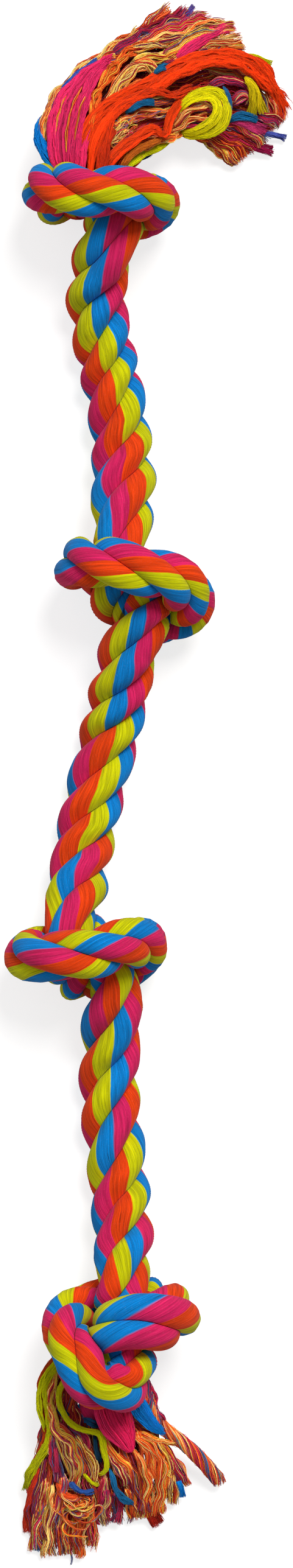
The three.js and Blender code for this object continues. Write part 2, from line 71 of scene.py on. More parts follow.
# ------------------------------------------------------------------ the rope's route through its knots
ROUTE = np.array([
    (150, 103.5, 92), (150, 127, 93), (150, 150, 95), (150, 171, 97), (150, 192, 100),
    (150, 212, 105), (150, 232, 110), (150, 252, 116), (151, 272, 121), (152, 292, 125),
    (154, 312, 125), (156, 329, 119), (159, 341, 105), (164, 348, 89), (172, 352, 74),
    (183, 354, 61), (197, 354, 52), (213, 353, 48), (228, 350, 51), (240, 346, 61),
    (248, 342, 76), (252, 338, 94), (252.5, 335, 113), (250, 331.5, 133), (246, 328, 152),
    (243.3, 324.4, 170.9), (231.4, 320, 187.4), (214.4, 316.8, 199.2), (194.8, 314.9, 206.4), (174.1, 314.2, 209.6),
    (153.2, 314.1, 208.3), (133.1, 312.4, 202.3), (115, 310.4, 191.8), (100, 308.3, 177.2), (88.1, 307.6, 160),
    (80.5, 309.2, 140.5), (78.3, 312.7, 119.8), (81.3, 318.1, 99.1), (88.7, 324.6, 79.5), (100.6, 329.6, 62.4),
    (117.5, 326, 50.3), (137.8, 315.1, 46.5), (157.5, 307.8, 52.1), (174, 305.4, 64.9), (186.7, 312.4, 80.6),
    (195.7, 326.5, 95.9), (199.5, 345, 109.4), (196.9, 360.6, 123), (188.7, 378.3, 129.8), (180, 397, 127.1),
    (172.7, 414, 117.3), (167.1, 428.9, 103.6), (162.7, 444.7, 90.7), (159.3, 462.4, 79.8), (158.2, 500.5, 62.7),
    (164.6, 540.6, 52.2), (173.3, 581.5, 47.9), (182.4, 622.5, 46.9), (190.6, 663.6, 47.6), (197.1, 705, 50.7),
    (201.3, 746.1, 58.1), (203.3, 786.1, 70.7), (203, 824.5, 87.6), (202, 843.4, 96.7), (200.2, 862.1, 106.1),
    (197.3, 880.5, 115.7), (194, 899.9, 122.8), (192.6, 920.8, 123.3), (191.8, 941.1, 118.6), (189.2, 959.7, 109.2),
    (189.1, 976.4, 96.7), (194.8, 991, 82.9), (206.1, 1002.1, 69.3), (221.6, 1009.7, 57.5), (240.5, 1015.2, 50.4),
    (261.1, 1017.2, 50.3), (279.8, 1013.4, 58.6), (294.1, 1006.7, 72.3), (304.5, 999.2, 88.9), (310.2, 990.7, 107.1),
    (310.1, 981.4, 125.8), (305, 972.5, 144.1), (299.3, 964.5, 162.6), (290.4, 956.6, 179.8), (275.6, 949.5, 192.6),
    (257.6, 943.3, 201.3), (238, 937.6, 206.4), (217.8, 932.5, 207.8), (197.4, 928.3, 205.4), (177.5, 924.9, 199.5),
    (159.2, 922.7, 189.6), (144.8, 922.5, 174.6), (135.9, 924.6, 155.8), (130.9, 927.8, 135.7), (129.7, 931.1, 115),
    (132.8, 934.5, 94.6), (140.1, 937.8, 75.3), (153.1, 939.6, 59.1), (171.3, 939.3, 49), (191.9, 939.1, 45.9),
    (212.6, 941.3, 48), (231, 945.5, 56.7), (244.3, 952.1, 71.3), (250.6, 961.2, 89), (249.9, 972.2, 106.7),
    (246.6, 988.1, 119.7), (241.4, 1007.7, 123.8), (233.4, 1026.8, 120.9), (223.9, 1043.8, 113.3), (215.5, 1060.2, 103.2),
    (209.5, 1077.9, 93.8), (204.7, 1096.4, 85), (196.1, 1134.2, 69.1), (188, 1173.4, 56.4), (178.9, 1213.7, 49.1),
    (168.4, 1254.4, 47.2), (157.8, 1295, 46.9), (148.2, 1335.9, 47.8), (140.2, 1376.8, 52.3), (133.6, 1416.2, 64.9),
    (127.9, 1453.5, 83.4), (124.6, 1471.7, 93.4), (120.8, 1489.9, 103.1), (116.7, 1508.2, 112.5), (112.5, 1527, 120.9),
    (110.5, 1547.3, 124.4), (112, 1567.8, 120.7), (113.8, 1584.6, 108.9), (119.8, 1596.2, 92.7), (130.9, 1604, 76.8),
    (145.3, 1605.8, 61.8), (162.2, 1601.9, 50.4), (181.1, 1594.4, 46), (199.8, 1585.2, 48.1), (216, 1576, 57.3),
    (227.9, 1566.9, 71.9), (234.6, 1558.6, 89.8), (235.7, 1552.6, 109.8), (231.8, 1549.5, 130.1), (225.7, 1547.9, 150.1),
    (217.5, 1548.3, 169.4), (205.3, 1551.4, 186.1), (188.9, 1556.1, 198), (169.7, 1560.9, 204.8), (149.4, 1565.6, 207.4),
    (128.9, 1569.4, 206.5), (108.5, 1571.2, 201.9), (89.6, 1570.9, 193), (73.9, 1570.2, 179.3), (62, 1570.3, 162),
    (53.2, 1570.5, 143), (49.5, 1569.9, 122.5), (51.9, 1568.4, 101.7), (59.1, 1566.4, 82.2), (70.9, 1563.5, 65.2),
    (87.2, 1559, 53.1), (106.4, 1552.7, 48.5), (125.6, 1546.1, 52.9), (143, 1543.1, 64.1), (157.7, 1545.6, 78.6),
    (168.4, 1554.6, 94), (175.2, 1569.6, 106.8), (183.2, 1587.9, 112.4), (187.8, 1607.7, 109.3), (186.6, 1628.2, 104.8),
    (185, 1647.8, 97.4), (183.6, 1666.4, 87.9), (182.5, 1684.8, 77.8), (180.6, 1722.7, 59.9), (179.1, 1763.4, 50.3),
    (180.1, 1805.3, 47.4), (183.9, 1847.1, 46.9), (189.1, 1888.8, 47.4), (194, 1930.4, 50), (198, 1971.2, 58.7),
    (201.4, 2011, 71.7), (203, 2030.6, 79), (203.8, 2049.9, 87.4), (203.4, 2068.4, 97.3), (202, 2086.4, 107.9),
    (200.2, 2105.1, 117.3), (198.1, 2124.9, 123.9), (197.5, 2145.7, 124.5), (200.2, 2165.1, 117.7), (205.7, 2182.8, 110),
    (211.8, 2197.9, 110.9), (213.4, 2207.4, 122.8), (213.4, 2216.8, 139.6), (214.7, 2231.1, 155.2), (213.1, 2247.8, 168.5),
    (209, 2266, 178.7), (199.6, 2278.3, 190.2), (183.3, 2281.4, 202.8), (164.6, 2278.3, 211.3), (148.6, 2265.7, 213.9),
    (138.5, 2247.9, 210), (129.5, 2230.5, 202.5), (119.6, 2214.7, 192.9), (113.5, 2200.2, 179.2), (111.9, 2188.7, 161.8),
    (112.1, 2180.9, 142.4), (112, 2174.2, 122.5), (113.8, 2166.5, 103.1), (120.2, 2158.6, 84.8), (131.6, 2151.4, 68.8),
    (148.1, 2145.8, 57.3), (167.7, 2142.3, 51), (188.4, 2140.2, 48.1), (209.3, 2139.2, 47.8), (230, 2139.6, 51.2),
    (248.6, 2142.2, 60.2), (263.4, 2146.6, 74.3), (273.9, 2151.2, 91.8), (279.6, 2155.5, 111.5), (280.8, 2159.4, 132.1),
    (278.3, 2162.8, 152.6), (272.2, 2165.7, 172.4), (260.7, 2168.3, 189.6), (244, 2170.1, 202.1), (224.4, 2172.5, 208.7),
    (204.2, 2177.7, 208), (186.9, 2185.2, 199.3), (178.2, 2193, 182.3), (174.7, 2202.8, 164.2), (167.6, 2214.6, 148.4),
    (159.8, 2223.4, 131.1), (159.7, 2234.1, 113.3), (162.4, 2246, 96.2), (163.7, 2261.1, 81.7), (164.5, 2279.1, 71),
    (165.2, 2298.7, 63.5), (165.6, 2319.1, 58.8), (166.2, 2339.9, 55.7), (167, 2360.7, 53.6), (168, 2385, 52),

])
RING_STEP = 4.0


def spline(points, step):
    """An evenly stepped smooth curve through the points."""
    q = np.asarray(points, float)
    u = np.concatenate([[0], np.cumsum(np.linalg.norm(np.diff(q, axis=0), axis=1))])
    n, h = len(u), np.diff(u)
    a, r = np.zeros((n, n)), np.zeros((n, q.shape[1]))
    a[0, 0] = a[-1, -1] = 1
    for i in range(1, n - 1):
        a[i, i - 1 : i + 2] = h[i - 1], 2 * (h[i - 1] + h[i]), h[i]
        r[i] = 6 * ((q[i + 1] - q[i]) / h[i] - (q[i] - q[i - 1]) / h[i - 1])
    m = np.linalg.solve(a, r)

    def at(v):
        i = np.clip(np.searchsorted(u, v) - 1, 0, n - 2)
        lo, hi, w = (u[i + 1] - v)[:, None], (v - u[i])[:, None], h[i][:, None]
        return (m[i] * lo**3 + m[i + 1] * hi**3) / (6 * w) + (q[i] / w - m[i] * w / 6) * lo + (q[i + 1] / w - m[i + 1] * w / 6) * hi

    v = np.linspace(0, u[-1], int(u[-1] / 1.5) + 2)
    p = at(v)
    s = np.concatenate([[0], np.cumsum(np.linalg.norm(np.diff(p, axis=0), axis=1))])
    even = np.linspace(0, s[-1], max(3, int(round(s[-1] / step)) + 1))
    return at(np.interp(even, s, v)), even


def unit(v):
    return v / np.maximum(np.linalg.norm(v, axis=-1, keepdims=True), 1e-12)


def carried_frames(p, first):
    """Tangents, and two normals that turn no more than the line itself does. p is (..., points, 3)."""
    t = unit(np.gradient(p, axis=-2))
    n = np.zeros_like(p)
    v = np.broadcast_to(np.asarray(first, float), p[..., 0, :].shape)
    n[..., 0, :] = unit(v - t[..., 0, :] * np.sum(v * t[..., 0, :], -1, keepdims=True))
    for i in range(1, p.shape[-2]):
        step = p[..., i, :] - p[..., i - 1, :]
        c = np.maximum(np.sum(step * step, -1, keepdims=True), 1e-12)
        nl = n[..., i - 1, :] - 2 / c * np.sum(step * n[..., i - 1, :], -1, keepdims=True) * step
        tl = t[..., i - 1, :] - 2 / c * np.sum(step * t[..., i - 1, :], -1, keepdims=True) * step
        d = t[..., i, :] - tl
        c2 = np.maximum(np.sum(d * d, -1, keepdims=True), 1e-12)
        m = nl - 2 / c2 * np.sum(d * nl, -1, keepdims=True) * d
        m = m - t[..., i, :] * np.sum(m * t[..., i, :], -1, keepdims=True)
        n[..., i, :] = unit(m)
    return t, n, np.cross(t, n)


line, dist = spline(ROUTE, RING_STEP)
line[:, 1] *= -1  # y up while the frames are made, so that the lay keeps its hand
tangent, normal, binormal = carried_frames(line, (0, 0, 1))


def smooth(x):
    x = np.clip(x, 0, 1)
    return x * x * (3 - 2 * x)


def down_to(y, after):
    """The distance along the rope where it first passes y, going down the toy, after some distance."""
    i = np.where((-line[:, 1] >= y) & (dist > after))[0][0]
    return float(dist[i])


# how far along the rope each stretch between knots starts, has its middle, and ends
STRETCHES = []
for y0, y1, seen in ((430, 836, 700), (1074, 1470, 2150), (1654, 2060, 3620)):
    end = down_to(y1, seen)
    start = float(dist[np.where((-line[:, 1] <= y0) & (dist < end))[0][-1]])
    STRETCHES.append((start, (start + end) / 2, end))

SPAN_WIDTH, KNOT_WIDTH = 96.0, 87.0
width = np.full(len(dist), KNOT_WIDTH)
for start, mid, end in STRETCHES:
    width += (SPAN_WIDTH - KNOT_WIDTH) * smooth((dist - start + 30) / 80) * smooth((end + 30 - dist) / 80)
loose = 1 + 0.17 * np.exp(-(((dist - 5045) / 95) ** 2))  # the last knot's right end is not pulled so tight
width *= loose
# the girth stays full right up to the knots, where the passes press on it
FULL_WIDTH = 101.0
girth = np.full(len(dist), KNOT_WIDTH)
for start, mid, end in STRETCHES:
    girth += (FULL_WIDTH - KNOT_WIDTH) * smooth((dist - start + 65) / 80) * smooth((end + 65 - dist) / 80)
girth *= loose * (1 + 0.08 * np.exp(-(((dist - 1450) / 70) ** 2)))  # and it is laid loosely just above the second knot

stripe_wide = 1 + 0.35 * np.exp(-(((dist - 5075) / 75) ** 2))  # and its stripes are spread there

# ------------------------------------------------------------------ the lay, and where the stripes stand
# (distance along the rope, which strand in turn comes uppermost there, stripe number at its middle, turns past uppermost)
# stripe numbers: 0 to 1 pink, 1 to 2 orange, 2 to 3 yellow-green, 3 to 4 blue, and round again
UPPERMOST = [
    (483, 0, 2.19, 0.080), (562, 1, 2.50, -0.019), (642, 2, 1.79, -0.082), (693, 3, 0.95, -0.098), (784, 5, 2.76, 0.046),
    (852, 6, 1.37, -0.012), (963, 8, 0.13, 0.060), (1061, 9, 3.68, 0.000), (1132, 10, 3.34, -0.002), (1198, 11, 2.73, -0.042),
    (1261, 12, 1.92, -0.006), (1324, 13, 2.26, -0.057), (1395, 14, 1.10, -0.028), (1478, 15, 0.73, 0.001), (1556, 16, 1.31, -0.105),
    (1640, 17, 3.73, -0.080), (1712, 18, 3.59, -0.081), (1846, 19, 3.85, 0.020), (1942, 20, 2.21, 0.005), (2030, 21, 1.48, -0.046),
    (2092, 22, 0.50, -0.051), (2172, 24, 1.77, -0.263), (2252, 25, 2.98, -0.130), (2352, 27, 3.74, 0.004), (2394, 28, 3.46, 0.041),
    (2481, 29, 3.53, -0.013), (2556, 30, 3.38, 0.003), (2627, 31, 1.57, 0.019), (2696, 32, 2.29, -0.035), (2765, 33, 2.43, -0.048),
    (2839, 34, 0.52, -0.047), (2919, 35, 1.07, -0.036), (3012, 36, 1.99, -0.135), (3068, 37, 1.91, 0.080), (3159, 38, 3.28, 0.000),
    (3255, 38, 0.72, 0.053), (3335, 39, 0.41, -0.007), (3409, 40, 1.29, -0.061), (3483, 41, 3.31, -0.205), (3591, 41, 1.06, -0.100),
    (3663, 42, 1.00, 0.062), (3796, 44, 1.00, 0.055), (3878, 45, 2.87, 0.001), (3955, 46, 3.15, -0.021), (4031, 47, 0.10, -0.016),
    (4106, 48, 1.79, -0.040), (4180, 49, 1.68, -0.027), (4254, 50, 3.18, -0.037), (4312, 51, 1.40, -0.193), (4375, 52, 1.29, 0.056),
    (4443, 53, 0.94, 0.012), (4495, 54, 1.38, -0.018), (4557, 55, 2.22, 0.005), (4637, 56, 2.25, -0.098), (4763, 57, 2.15, -0.135),
    (4867, 58, 3.81, -0.151), (4943, 59, 1.09, 0.036), (5033, 61, 1.20, 0.000), (5105, 61, 2.94, 0.197), (5117, 62, 0.35, -0.110), (5175, 63, 3.97, -0.171),
    (5243, 64, 3.80, -0.115), (5327, 65, 2.68, -0.244),
]
KNOT_LAY = 258.0
STRIPE = 0.32  # a stripe's width on the strand, in rope widths
STRIPES_PER_LAY = 0.098, 0.160  # how far the stripes turn back in one lay, for each unit of rope width: between knots, in knots

up_angle = np.arctan2(binormal[:, 2], normal[:, 2])
up_angle = np.unwrap(up_angle) / (2 * math.pi)
marks = np.array([m[0] for m in UPPERMOST], float)
turns = np.array([np.interp(s, dist, up_angle) + past + n / 3 for s, n, _, past in UPPERMOST])


def monotone(x, xs, ys, slope):
    """A smooth curve through the points, with the given slope beyond them."""
    d = np.diff(ys) / np.diff(xs)
    k = np.concatenate([[slope], 2 / (1 / np.maximum(d[1:], 1e-6) + 1 / np.maximum(d[:-1], 1e-6)), [slope]])
    i = np.clip(np.searchsorted(xs, x) - 1, 0, len(xs) - 2)
    h = xs[i + 1] - xs[i]
    t = np.clip((x - xs[i]) / h, 0, 1)
    y = (2 * t**3 - 3 * t**2 + 1) * ys[i] + (t**3 - 2 * t**2 + t) * h * k[i] + (3 * t**2 - 2 * t**3) * ys[i + 1] + (t**3 - t**2) * h * k[i + 1]
    return y + slope * np.minimum(x - xs[0], 0) + slope * np.maximum(x - xs[-1], 0)


lay_turns = monotone(dist, marks, turns, 1 / KNOT_LAY)
rate = width * np.interp(width, (KNOT_WIDTH, SPAN_WIDTH), STRIPES_PER_LAY[::-1])
drift = -np.concatenate([[0], np.cumsum(0.5 * (rate[1:] + rate[:-1]) * np.diff(lay_turns))])
stripe_at = []
for k in range(3):
    xs, es = [], []
    for s, n, stripe, _ in UPPERMOST:
        if (-n) % 3 == k:
            e = stripe - float(np.interp(s, dist, drift))
            e += 4 * round(((es[-1] if es else e) - e) / 4)
            xs.append(s)
            es.append(e)
    stripe_at.append(drift + np.interp(dist, xs, es))

# ------------------------------------------------------------------ a strand's section
AROUND = 72


def strand_section():
    """A strand pressed between its neighbours: full outside, flat where they meet. In rope widths, with the length along its skin."""
    a = np.linspace(-math.pi, math.pi, AROUND, endpoint=False)
    x = np.maximum(0.235 + 0.265 * np.cos(a), 0.015)
    y = 0.285 * np.sin(a)
    reach = math.tan(math.radians(59.6)) * x
    y = np.clip(y, -reach, reach)
    step = np.hypot(np.diff(np.append(x, x[0])), np.diff(np.append(y, y[0])))
    skin = np.concatenate([[0], np.cumsum(step)])
    return x, y, skin - np.interp(0.0, np.append(a, math.pi), skin)


sec_x, sec_y, sec_skin = strand_section()

centre_gap = line[:, None, :] - line[None, ::3, :]
centre_gap = np.linalg.norm(centre_gap, axis=2)


def strand_grid(k):
    """The skin of strand k along the whole rope, in drawing units, and the stripe number of each point."""
    a = lay_turns * 2 * math.pi + k * 2 * math.pi / 3
    er = np.cos(a)[:, None] * normal + np.sin(a)[:, None] * binormal
    ec = np.cross(tangent, er)
    skin = sec_skin / STRIPE
    stripes = stripe_at[k][:, None] - skin[None, :] / stripe_wide[:, None]
    # the roving is a little uneven: soft ridges that follow the yarns
    ridge = np.zeros((len(dist), AROUND))
    for f, size, drift_len, ph in ((1.3, 0.50, 260, 0.4), (2.3, 0.34, 190, 2.1), (3.7, 0.20, 140, 4.0)):
        ridge += size * np.sin(2 * math.pi * f * stripes[:, :-1] + ph + k + 1.6 * np.sin(2 * math.pi * dist / drift_len + ph)[:, None])
    w = girth[:, None]
    grow = 1 + ridge / 48 * np.clip((sec_x - 0.1) / 0.2, 0, 1)[None, :] * 0.9
    p = line[:, None, :] + (w * sec_x * grow)[..., None] * er[:, None, :] + (w * sec_y)[..., None] * ec[:, None, :]
    return p, stripes


def press(p):
    """Where two passes of the rope lie against each other in a knot, both are pressed flat on the plane between them."""
    others = line[::3]
    sunk = np.tile(0.5 + 2 * (1 - np.clip((np.hypot(sec_x, sec_y) - 0.3) / 0.08, 0, 1)), 3)  # the inner sides a little deeper than the skin
    for i in range(len(dist)):
        near = np.where((np.abs(dist[::3] - dist[i]) > 125) & (centre_gap[i] < 106))[0]
        if not len(near):
            continue
        v = p[i]
        for _ in range(2):
            q = others[near]
            n = unit(q - line[i])
            over = np.einsum("vc,jc->vj", v, n) - np.sum(0.5 * (q + line[i]) * n, 1)[None, :] + sunk[:, None]
            worst = over.argmax(1)
            depth = np.maximum(over[np.arange(len(v)), worst], 0)
            v = v - depth[:, None] * n[worst]
        p[i] = v
    return p


# ------------------------------------------------------------------ meshes
def new_mesh(name, verts, quads, ngons, material):
    me = bpy.data.meshes.new(name)
    me.vertices.add(len(verts))
    me.vertices.foreach_set("co", np.ascontiguousarray(verts, np.float32).ravel())
    loops = np.concatenate([np.asarray(quads, np.int32).ravel()] + [np.asarray(g, np.int32).ravel() for g in ngons])
    starts = np.concatenate([np.arange(len(quads)) * 4] + [len(quads) * 4 + np.cumsum([0] + [len(g) for g in ngons])[:-1]]) if ngons else np.arange(len(quads)) * 4
    me.loops.add(len(loops))
    me.loops.foreach_set("vertex_index", loops)
    me.polygons.add(len(starts))
    me.polygons.foreach_set("loop_start", starts.astype(np.int32))
    me.update(calc_edges=True)
    me.shade_smooth()
    if ngons:  # the caps don't round off the sides
        rim = np.zeros(len(verts), np.int32)
        for i, g in enumerate(ngons, 1):
            rim[g] = i
        pairs = np.zeros(len(me.edges) * 2, np.int32)
        me.edges.foreach_get("vertices", pairs)
        ends = rim[pairs].reshape(-1, 2)
        sharp = me.attributes.new("sharp_edge", "BOOLEAN", "EDGE")
        sharp.data.foreach_set("value", (ends[:, 0] == ends[:, 1]) & (ends[:, 0] > 0))
    me.materials.append(material)
    ob = bpy.data.objects.new(name, me)
    bpy.context.scene.collection.objects.link(ob)
    return ob


def add_uv(ob, name, uv):
    layer = ob.data.uv_layers.new(name=name)
    layer.uv.foreach_set("vector", np.ascontiguousarray(uv, np.float32).ravel())


def strand_piece(name, p, stripes, along, material):
    """One closed length of a strand. p is (rings, around, 3)."""
    n, m = p.shape[:2]
    i, j = np.meshgrid(np.arange(n - 1), np.arange(m), indexing="ij")
    j1 = (j + 1) % m
    quads = np.stack([i * m + j, i * m + j1, (i + 1) * m + j1, (i + 1) * m + j], -1).reshape(-1, 4)
    ob = new_mesh(name, place(p).reshape(-1, 3), quads, [np.arange(m)[::-1], (n - 1) * m + np.arange(m)], material)
    cap = np.stack([stripes[[0, -1], :-1], np.broadcast_to(along[[0, -1], None], (2, m))], -1)
    uv = np.stack([
        np.stack([stripes[i, j], along[i]], -1), np.stack([stripes[i, j + 1], along[i]], -1),
        np.stack([stripes[i + 1, j + 1], along[i + 1]], -1), np.stack([stripes[i + 1, j], along[i + 1]], -1)], 2).reshape(-1, 2)
    add_uv(ob, "yarns", np.concatenate([uv, cap[0][::-1], cap[1]]))
    # a flat layout in rows, with nothing on top of anything else
    rows = max(1, round(math.sqrt((along[-1] - along[0]) / 150)))
    row = np.minimum(i * rows // (n - 1), rows - 1)
    first = -((-row * (n - 1)) // rows)
    last = -((-(row + 1) * (n - 1)) // rows)
    span = np.maximum(last - first, 1)

    def flat(ii, jj):
        return np.stack([0.01 + 0.98 * (ii - first) / span, 0.97 * (row + 0.03 + 0.94 * jj / m) / rows], -1)

    uv = np.stack([flat(i, j), flat(i, j + 1), flat(i + 1, j + 1), flat(i + 1, j)], 2).reshape(-1, 2)
    a = np.linspace(0, 2 * math.pi, m, endpoint=False)
    disc = np.stack([np.cos(a), np.sin(a)], -1) * 0.01
    add_uv(ob, "OFBake", np.concatenate([uv, (disc * (1, -1))[::-1] + (0.25, 0.985), disc + (0.75, 0.985)]))
    return ob


# ------------------------------------------------------------------ materials
def srgb(r, g, b):
    c = np.array([r, g, b], float) / 255
    return tuple(np.where(c <= 0.04045, c / 12.92, ((c + 0.055) / 1.055) ** 2.4)) + (1.0,)


PINK, ORANGE, YELLOW, BLUE = (230, 38, 104), (248, 72, 14), (218, 219, 3), (8, 139, 225)


class Nodes:
    """Short names for building a material."""

    def __init__(self, name):
        self.mat = bpy.data.materials.new(name)
        self.mat.use_nodes = True
        self.tree = self.mat.node_tree
        self.tree.nodes.clear()

    def node(self, kind, inputs=(), **settings):
        n = self.tree.nodes.new(kind)
        for k, v in settings.items():
            setattr(n, k, v)
        for k, v in dict(inputs).items():
            if isinstance(v, bpy.types.NodeSocket):
                self.tree.links.new(v, n.inputs[k])
            else:
                n.inputs[k].default_value = v
        return n

    def math(self, op, a, b=0.0, c=0.0):
        return self.node("ShaderNodeMath", {0: a, 1: b, 2: c}, operation=op).outputs[0]

    def mix(self, kind, share, a, b):
        return self.node("ShaderNodeMix", {0: share, 6: a, 7: b}, data_type="RGBA", blend_type=kind).outputs[2]

    def ramp(self, value, stops, interpolation="LINEAR"):
        n = self.node("ShaderNodeValToRGB", {0: value})
        n.color_ramp.interpolation = interpolation
        e = n.color_ramp.elements
        while len(e) > 1:
            e.remove(e[-1])
        e[0].position, e[0].color = stops[0]
        for pos, colour in stops[1:]:
            e.new(pos).color = colour
        return n.outputs[0]

    def noise(self, vector, scale=1.0, detail=3.0, rough=0.55):
        return self.node("ShaderNodeTexNoise", {"Vector": vector, "Scale": scale, "Detail": detail, "Roughness": rough}, noise_dimensions="3D").outputs[0]

    def vector(self, x, y, z=0.0):
        return self.node("ShaderNodeCombineXYZ", {0: x, 1: y, 2: z}).outputs[0]

    def range(self, value, a, b, c, d):
        return self.node("ShaderNodeMapRange", {0: value, 1: a, 2: b, 3: c, 4: d}).outputs[0]

    def grey(self, value):
        return self.node("ShaderNodeCombineColor", {0: value, 1: value, 2: value}).outputs[0]


def finish_cloth(n, colour, bump, rough=0.9, sheen=0.06):
    shader = n.node("ShaderNodeBsdfPrincipled", {
        "Base Color": colour, "Roughness": rough, "Specular IOR Level": 0.10,
        "Sheen Weight": sheen, "Sheen Roughness": 0.45, "Normal": bump})
    out = n.node("ShaderNodeOutputMaterial")
    n.tree.links.new(shader.outputs[0], out.inputs[0])
    return n.mat


def striped_cotton():
    """Combed cotton roving in four stripes. u counts stripes round the strand and v the distance along it, in stripe widths."""
    n = Nodes("striped_cotton")
    uv = n.node("ShaderNodeUVMap", uv_map="yarns").outputs[0]
    xyz = n.node("ShaderNodeSeparateXYZ", {0: uv})
    u, v = xyz.outputs[0], xyz.outputs[1]
    waver = n.noise(n.vector(n.math("MULTIPLY", u, 7.0), n.math("MULTIPLY", v, 0.9)), 1.0, 2.0)
    at = n.math("FRACT", n.math("MULTIPLY", n.math("ADD", u, n.math("MULTIPLY", n.math("SUBTRACT", waver, 0.5), 0.09)), 0.25))
    pink, orange, yellow, blue = (srgb(*c) for c in (PINK, ORANGE, YELLOW, BLUE))
    pale, lilac = srgb(196, 214, 120), srgb(168, 110, 178)
    colour = n.ramp(at, [
        (0.0, lilac), (0.010, pink), (0.245, pink), (0.255, orange), (0.495, orange), (0.505, yellow),
        (0.742, yellow), (0.750, pale), (0.758, blue), (0.990, blue), (1.0, lilac)])
    # yarns side by side, fibres in the yarns, painted shade in the gaps where yarns part, and a pale bloom of loose
    # fibre
    yarn = n.noise(n.vector(n.math("MULTIPLY", u, 7.0), n.math("MULTIPLY", v, 0.30)), 1.0, 2.0)
    fibre = n.noise(n.vector(n.math("MULTIPLY", u, 19.0), n.math("MULTIPLY", v, 0.70)), 1.0, 4.0, 0.65)
    cloud = n.noise(n.vector(n.math("MULTIPLY", u, 1.1), n.math("MULTIPLY", v, 0.45)), 1.0, 2.0)
    bloom = n.noise(n.vector(n.math("MULTIPLY", u, 22.0), n.math("MULTIPLY", v, 9.0)), 1.0, 3.0, 0.6)
    shade = n.math("MULTIPLY", n.range(yarn, 0.3, 0.7, 0.70, 1.10), n.range(fibre, 0.3, 0.7, 0.56, 1.16))
    shade = n.math("MULTIPLY", shade, n.range(cloud, 0.3, 0.7, 0.92, 1.07))
    # painted shade: the colour is darkened where the yarns part and the surface dips
    painted_gap_shade = n.range(n.noise(n.vector(n.math("MULTIPLY", u, 14.0), n.math("MULTIPLY", v, 0.45), 3.7), 1.0, 3.0), 0.26, 0.37, 0.50, 1.0)
    shade = n.math("MULTIPLY", shade, painted_gap_shade)
    colour = n.mix("MULTIPLY", 1.0, colour, n.grey(shade))
    colour = n.mix("MIX", n.range(bloom, 0.55, 0.85, 0.0, 0.06), colour, srgb(236, 226, 214))
    height = n.math("ADD", n.math("MULTIPLY", yarn, 0.6), n.math("MULTIPLY", fibre, 0.55))
    height = n.math("ADD", height, n.math("MULTIPLY", painted_gap_shade, 0.35))
    bump = n.node("ShaderNodeBump", {"Strength": 0.55, "Distance": 0.0006, "Height": height}).outputs[0]
    return finish_cloth(n, colour, bump)


def loose_cotton():
    """Cotton yarn in its own colour, from the yarn's colour attribute, which holds dyes and, in places, painted shade
    and painted light. u goes round it and v along it.
    """
    n = Nodes("loose_cotton")
    dye = n.node("ShaderNodeAttribute", attribute_name="dye").outputs[0]
    uv = n.node("ShaderNodeUVMap", uv_map="yarns").outputs[0]
    xyz = n.node("ShaderNodeSeparateXYZ", {0: uv})
    u, v = xyz.outputs[0], xyz.outputs[1]
    ply = n.noise(n.vector(n.math("ADD", n.math("MULTIPLY", u, 3.0), n.math("MULTIPLY", v, 0.35)), n.math("MULTIPLY", v, 0.05)), 1.0, 3.0)
    along = n.noise(n.vector(u, n.math("MULTIPLY", v, 0.08)), 1.0, 2.0)
    shade = n.math("MULTIPLY", n.range(ply, 0.3, 0.7, 0.78, 1.15), n.range(along, 0.3, 0.7, 0.88, 1.10))
    colour = n.mix("MULTIPLY", 1.0, dye, n.grey(shade))
    bump = n.node("ShaderNodeBump", {"Strength": 0.5, "Distance": 0.0003, "Height": ply}).outputs[0]
    return finish_cloth(n, colour, bump, 0.88, 0.04)


STRIPED = striped_cotton()
LOOSE = loose_cotton()

# ------------------------------------------------------------------ the rope, strand by strand
grids = [strand_grid(k) for k in range(3)]
free = np.concatenate([g[0] for g in grids], 1)
pushed = press(free.copy()) - free
for _ in range(2):  # evened out along the rope
    pushed[1:-1] = 0.25 * pushed[:-2] + 0.5 * pushed[1:-1] + 0.25 * pushed[2:]
pressed = free + pushed
pressed[..., 1] *= -1
for k in range(3):
    grids[k] = (pressed[:, k * AROUND : (k + 1) * AROUND], grids[k][1])


def ring(s):
    return int(round(s / (dist[1] - dist[0])))


def rope_length(name, a, b, made, nodes=None):
    """Three strands from distance a to b. made(piece) fastens each to its body; nodes names the CAD strands that they stand for."""
    i, j = ring(a), ring(b)
    for k in range(3):
        p, stripes = grids[k]
        ob = strand_piece(f"{name}_{'abc'[k]}", p[i : j + 1], stripes[i : j + 1], dist[i : j + 1] / (STRIPE * SPAN_WIDTH), STRIPED)
        made(ob)
        if nodes:
            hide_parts(f"{nodes}_strand_{'abc'[k]}")


ROPE_START = down_to(288, 0)
ROPE_END = float(dist[np.where(-line[:, 1] <= 2335)[0][-1]])
knot_from = ROPE_START
for number, (start, mid, end) in enumerate(STRETCHES, 1):
    upper, lower = f"span_{number}_upper", f"span_{number}_lower"
    above, below = f"knot_{number}", f"knot_{number + 1}"
    a1, a2, a3, a4 = start - 50, (start + mid) / 2 + 14, (mid + end) / 2 - 14, end + 50
    rope_length(f"rope_{above}", knot_from, a1, lambda ob, body=above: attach(ob, body), above)
    rope_length(f"rope_span_{number}_upper", a1, a2, lambda ob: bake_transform(ob), upper)
    rope_length(f"rope_span_{number}_middle", a2, a3, lambda ob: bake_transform(ob))
    rope_length(f"rope_span_{number}_lower", a3, a4, lambda ob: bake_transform(ob), lower)
    knot_from = a4
rope_length("rope_knot_4", knot_from, ROPE_END, lambda ob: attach(ob, "knot_4"), "knot_4")

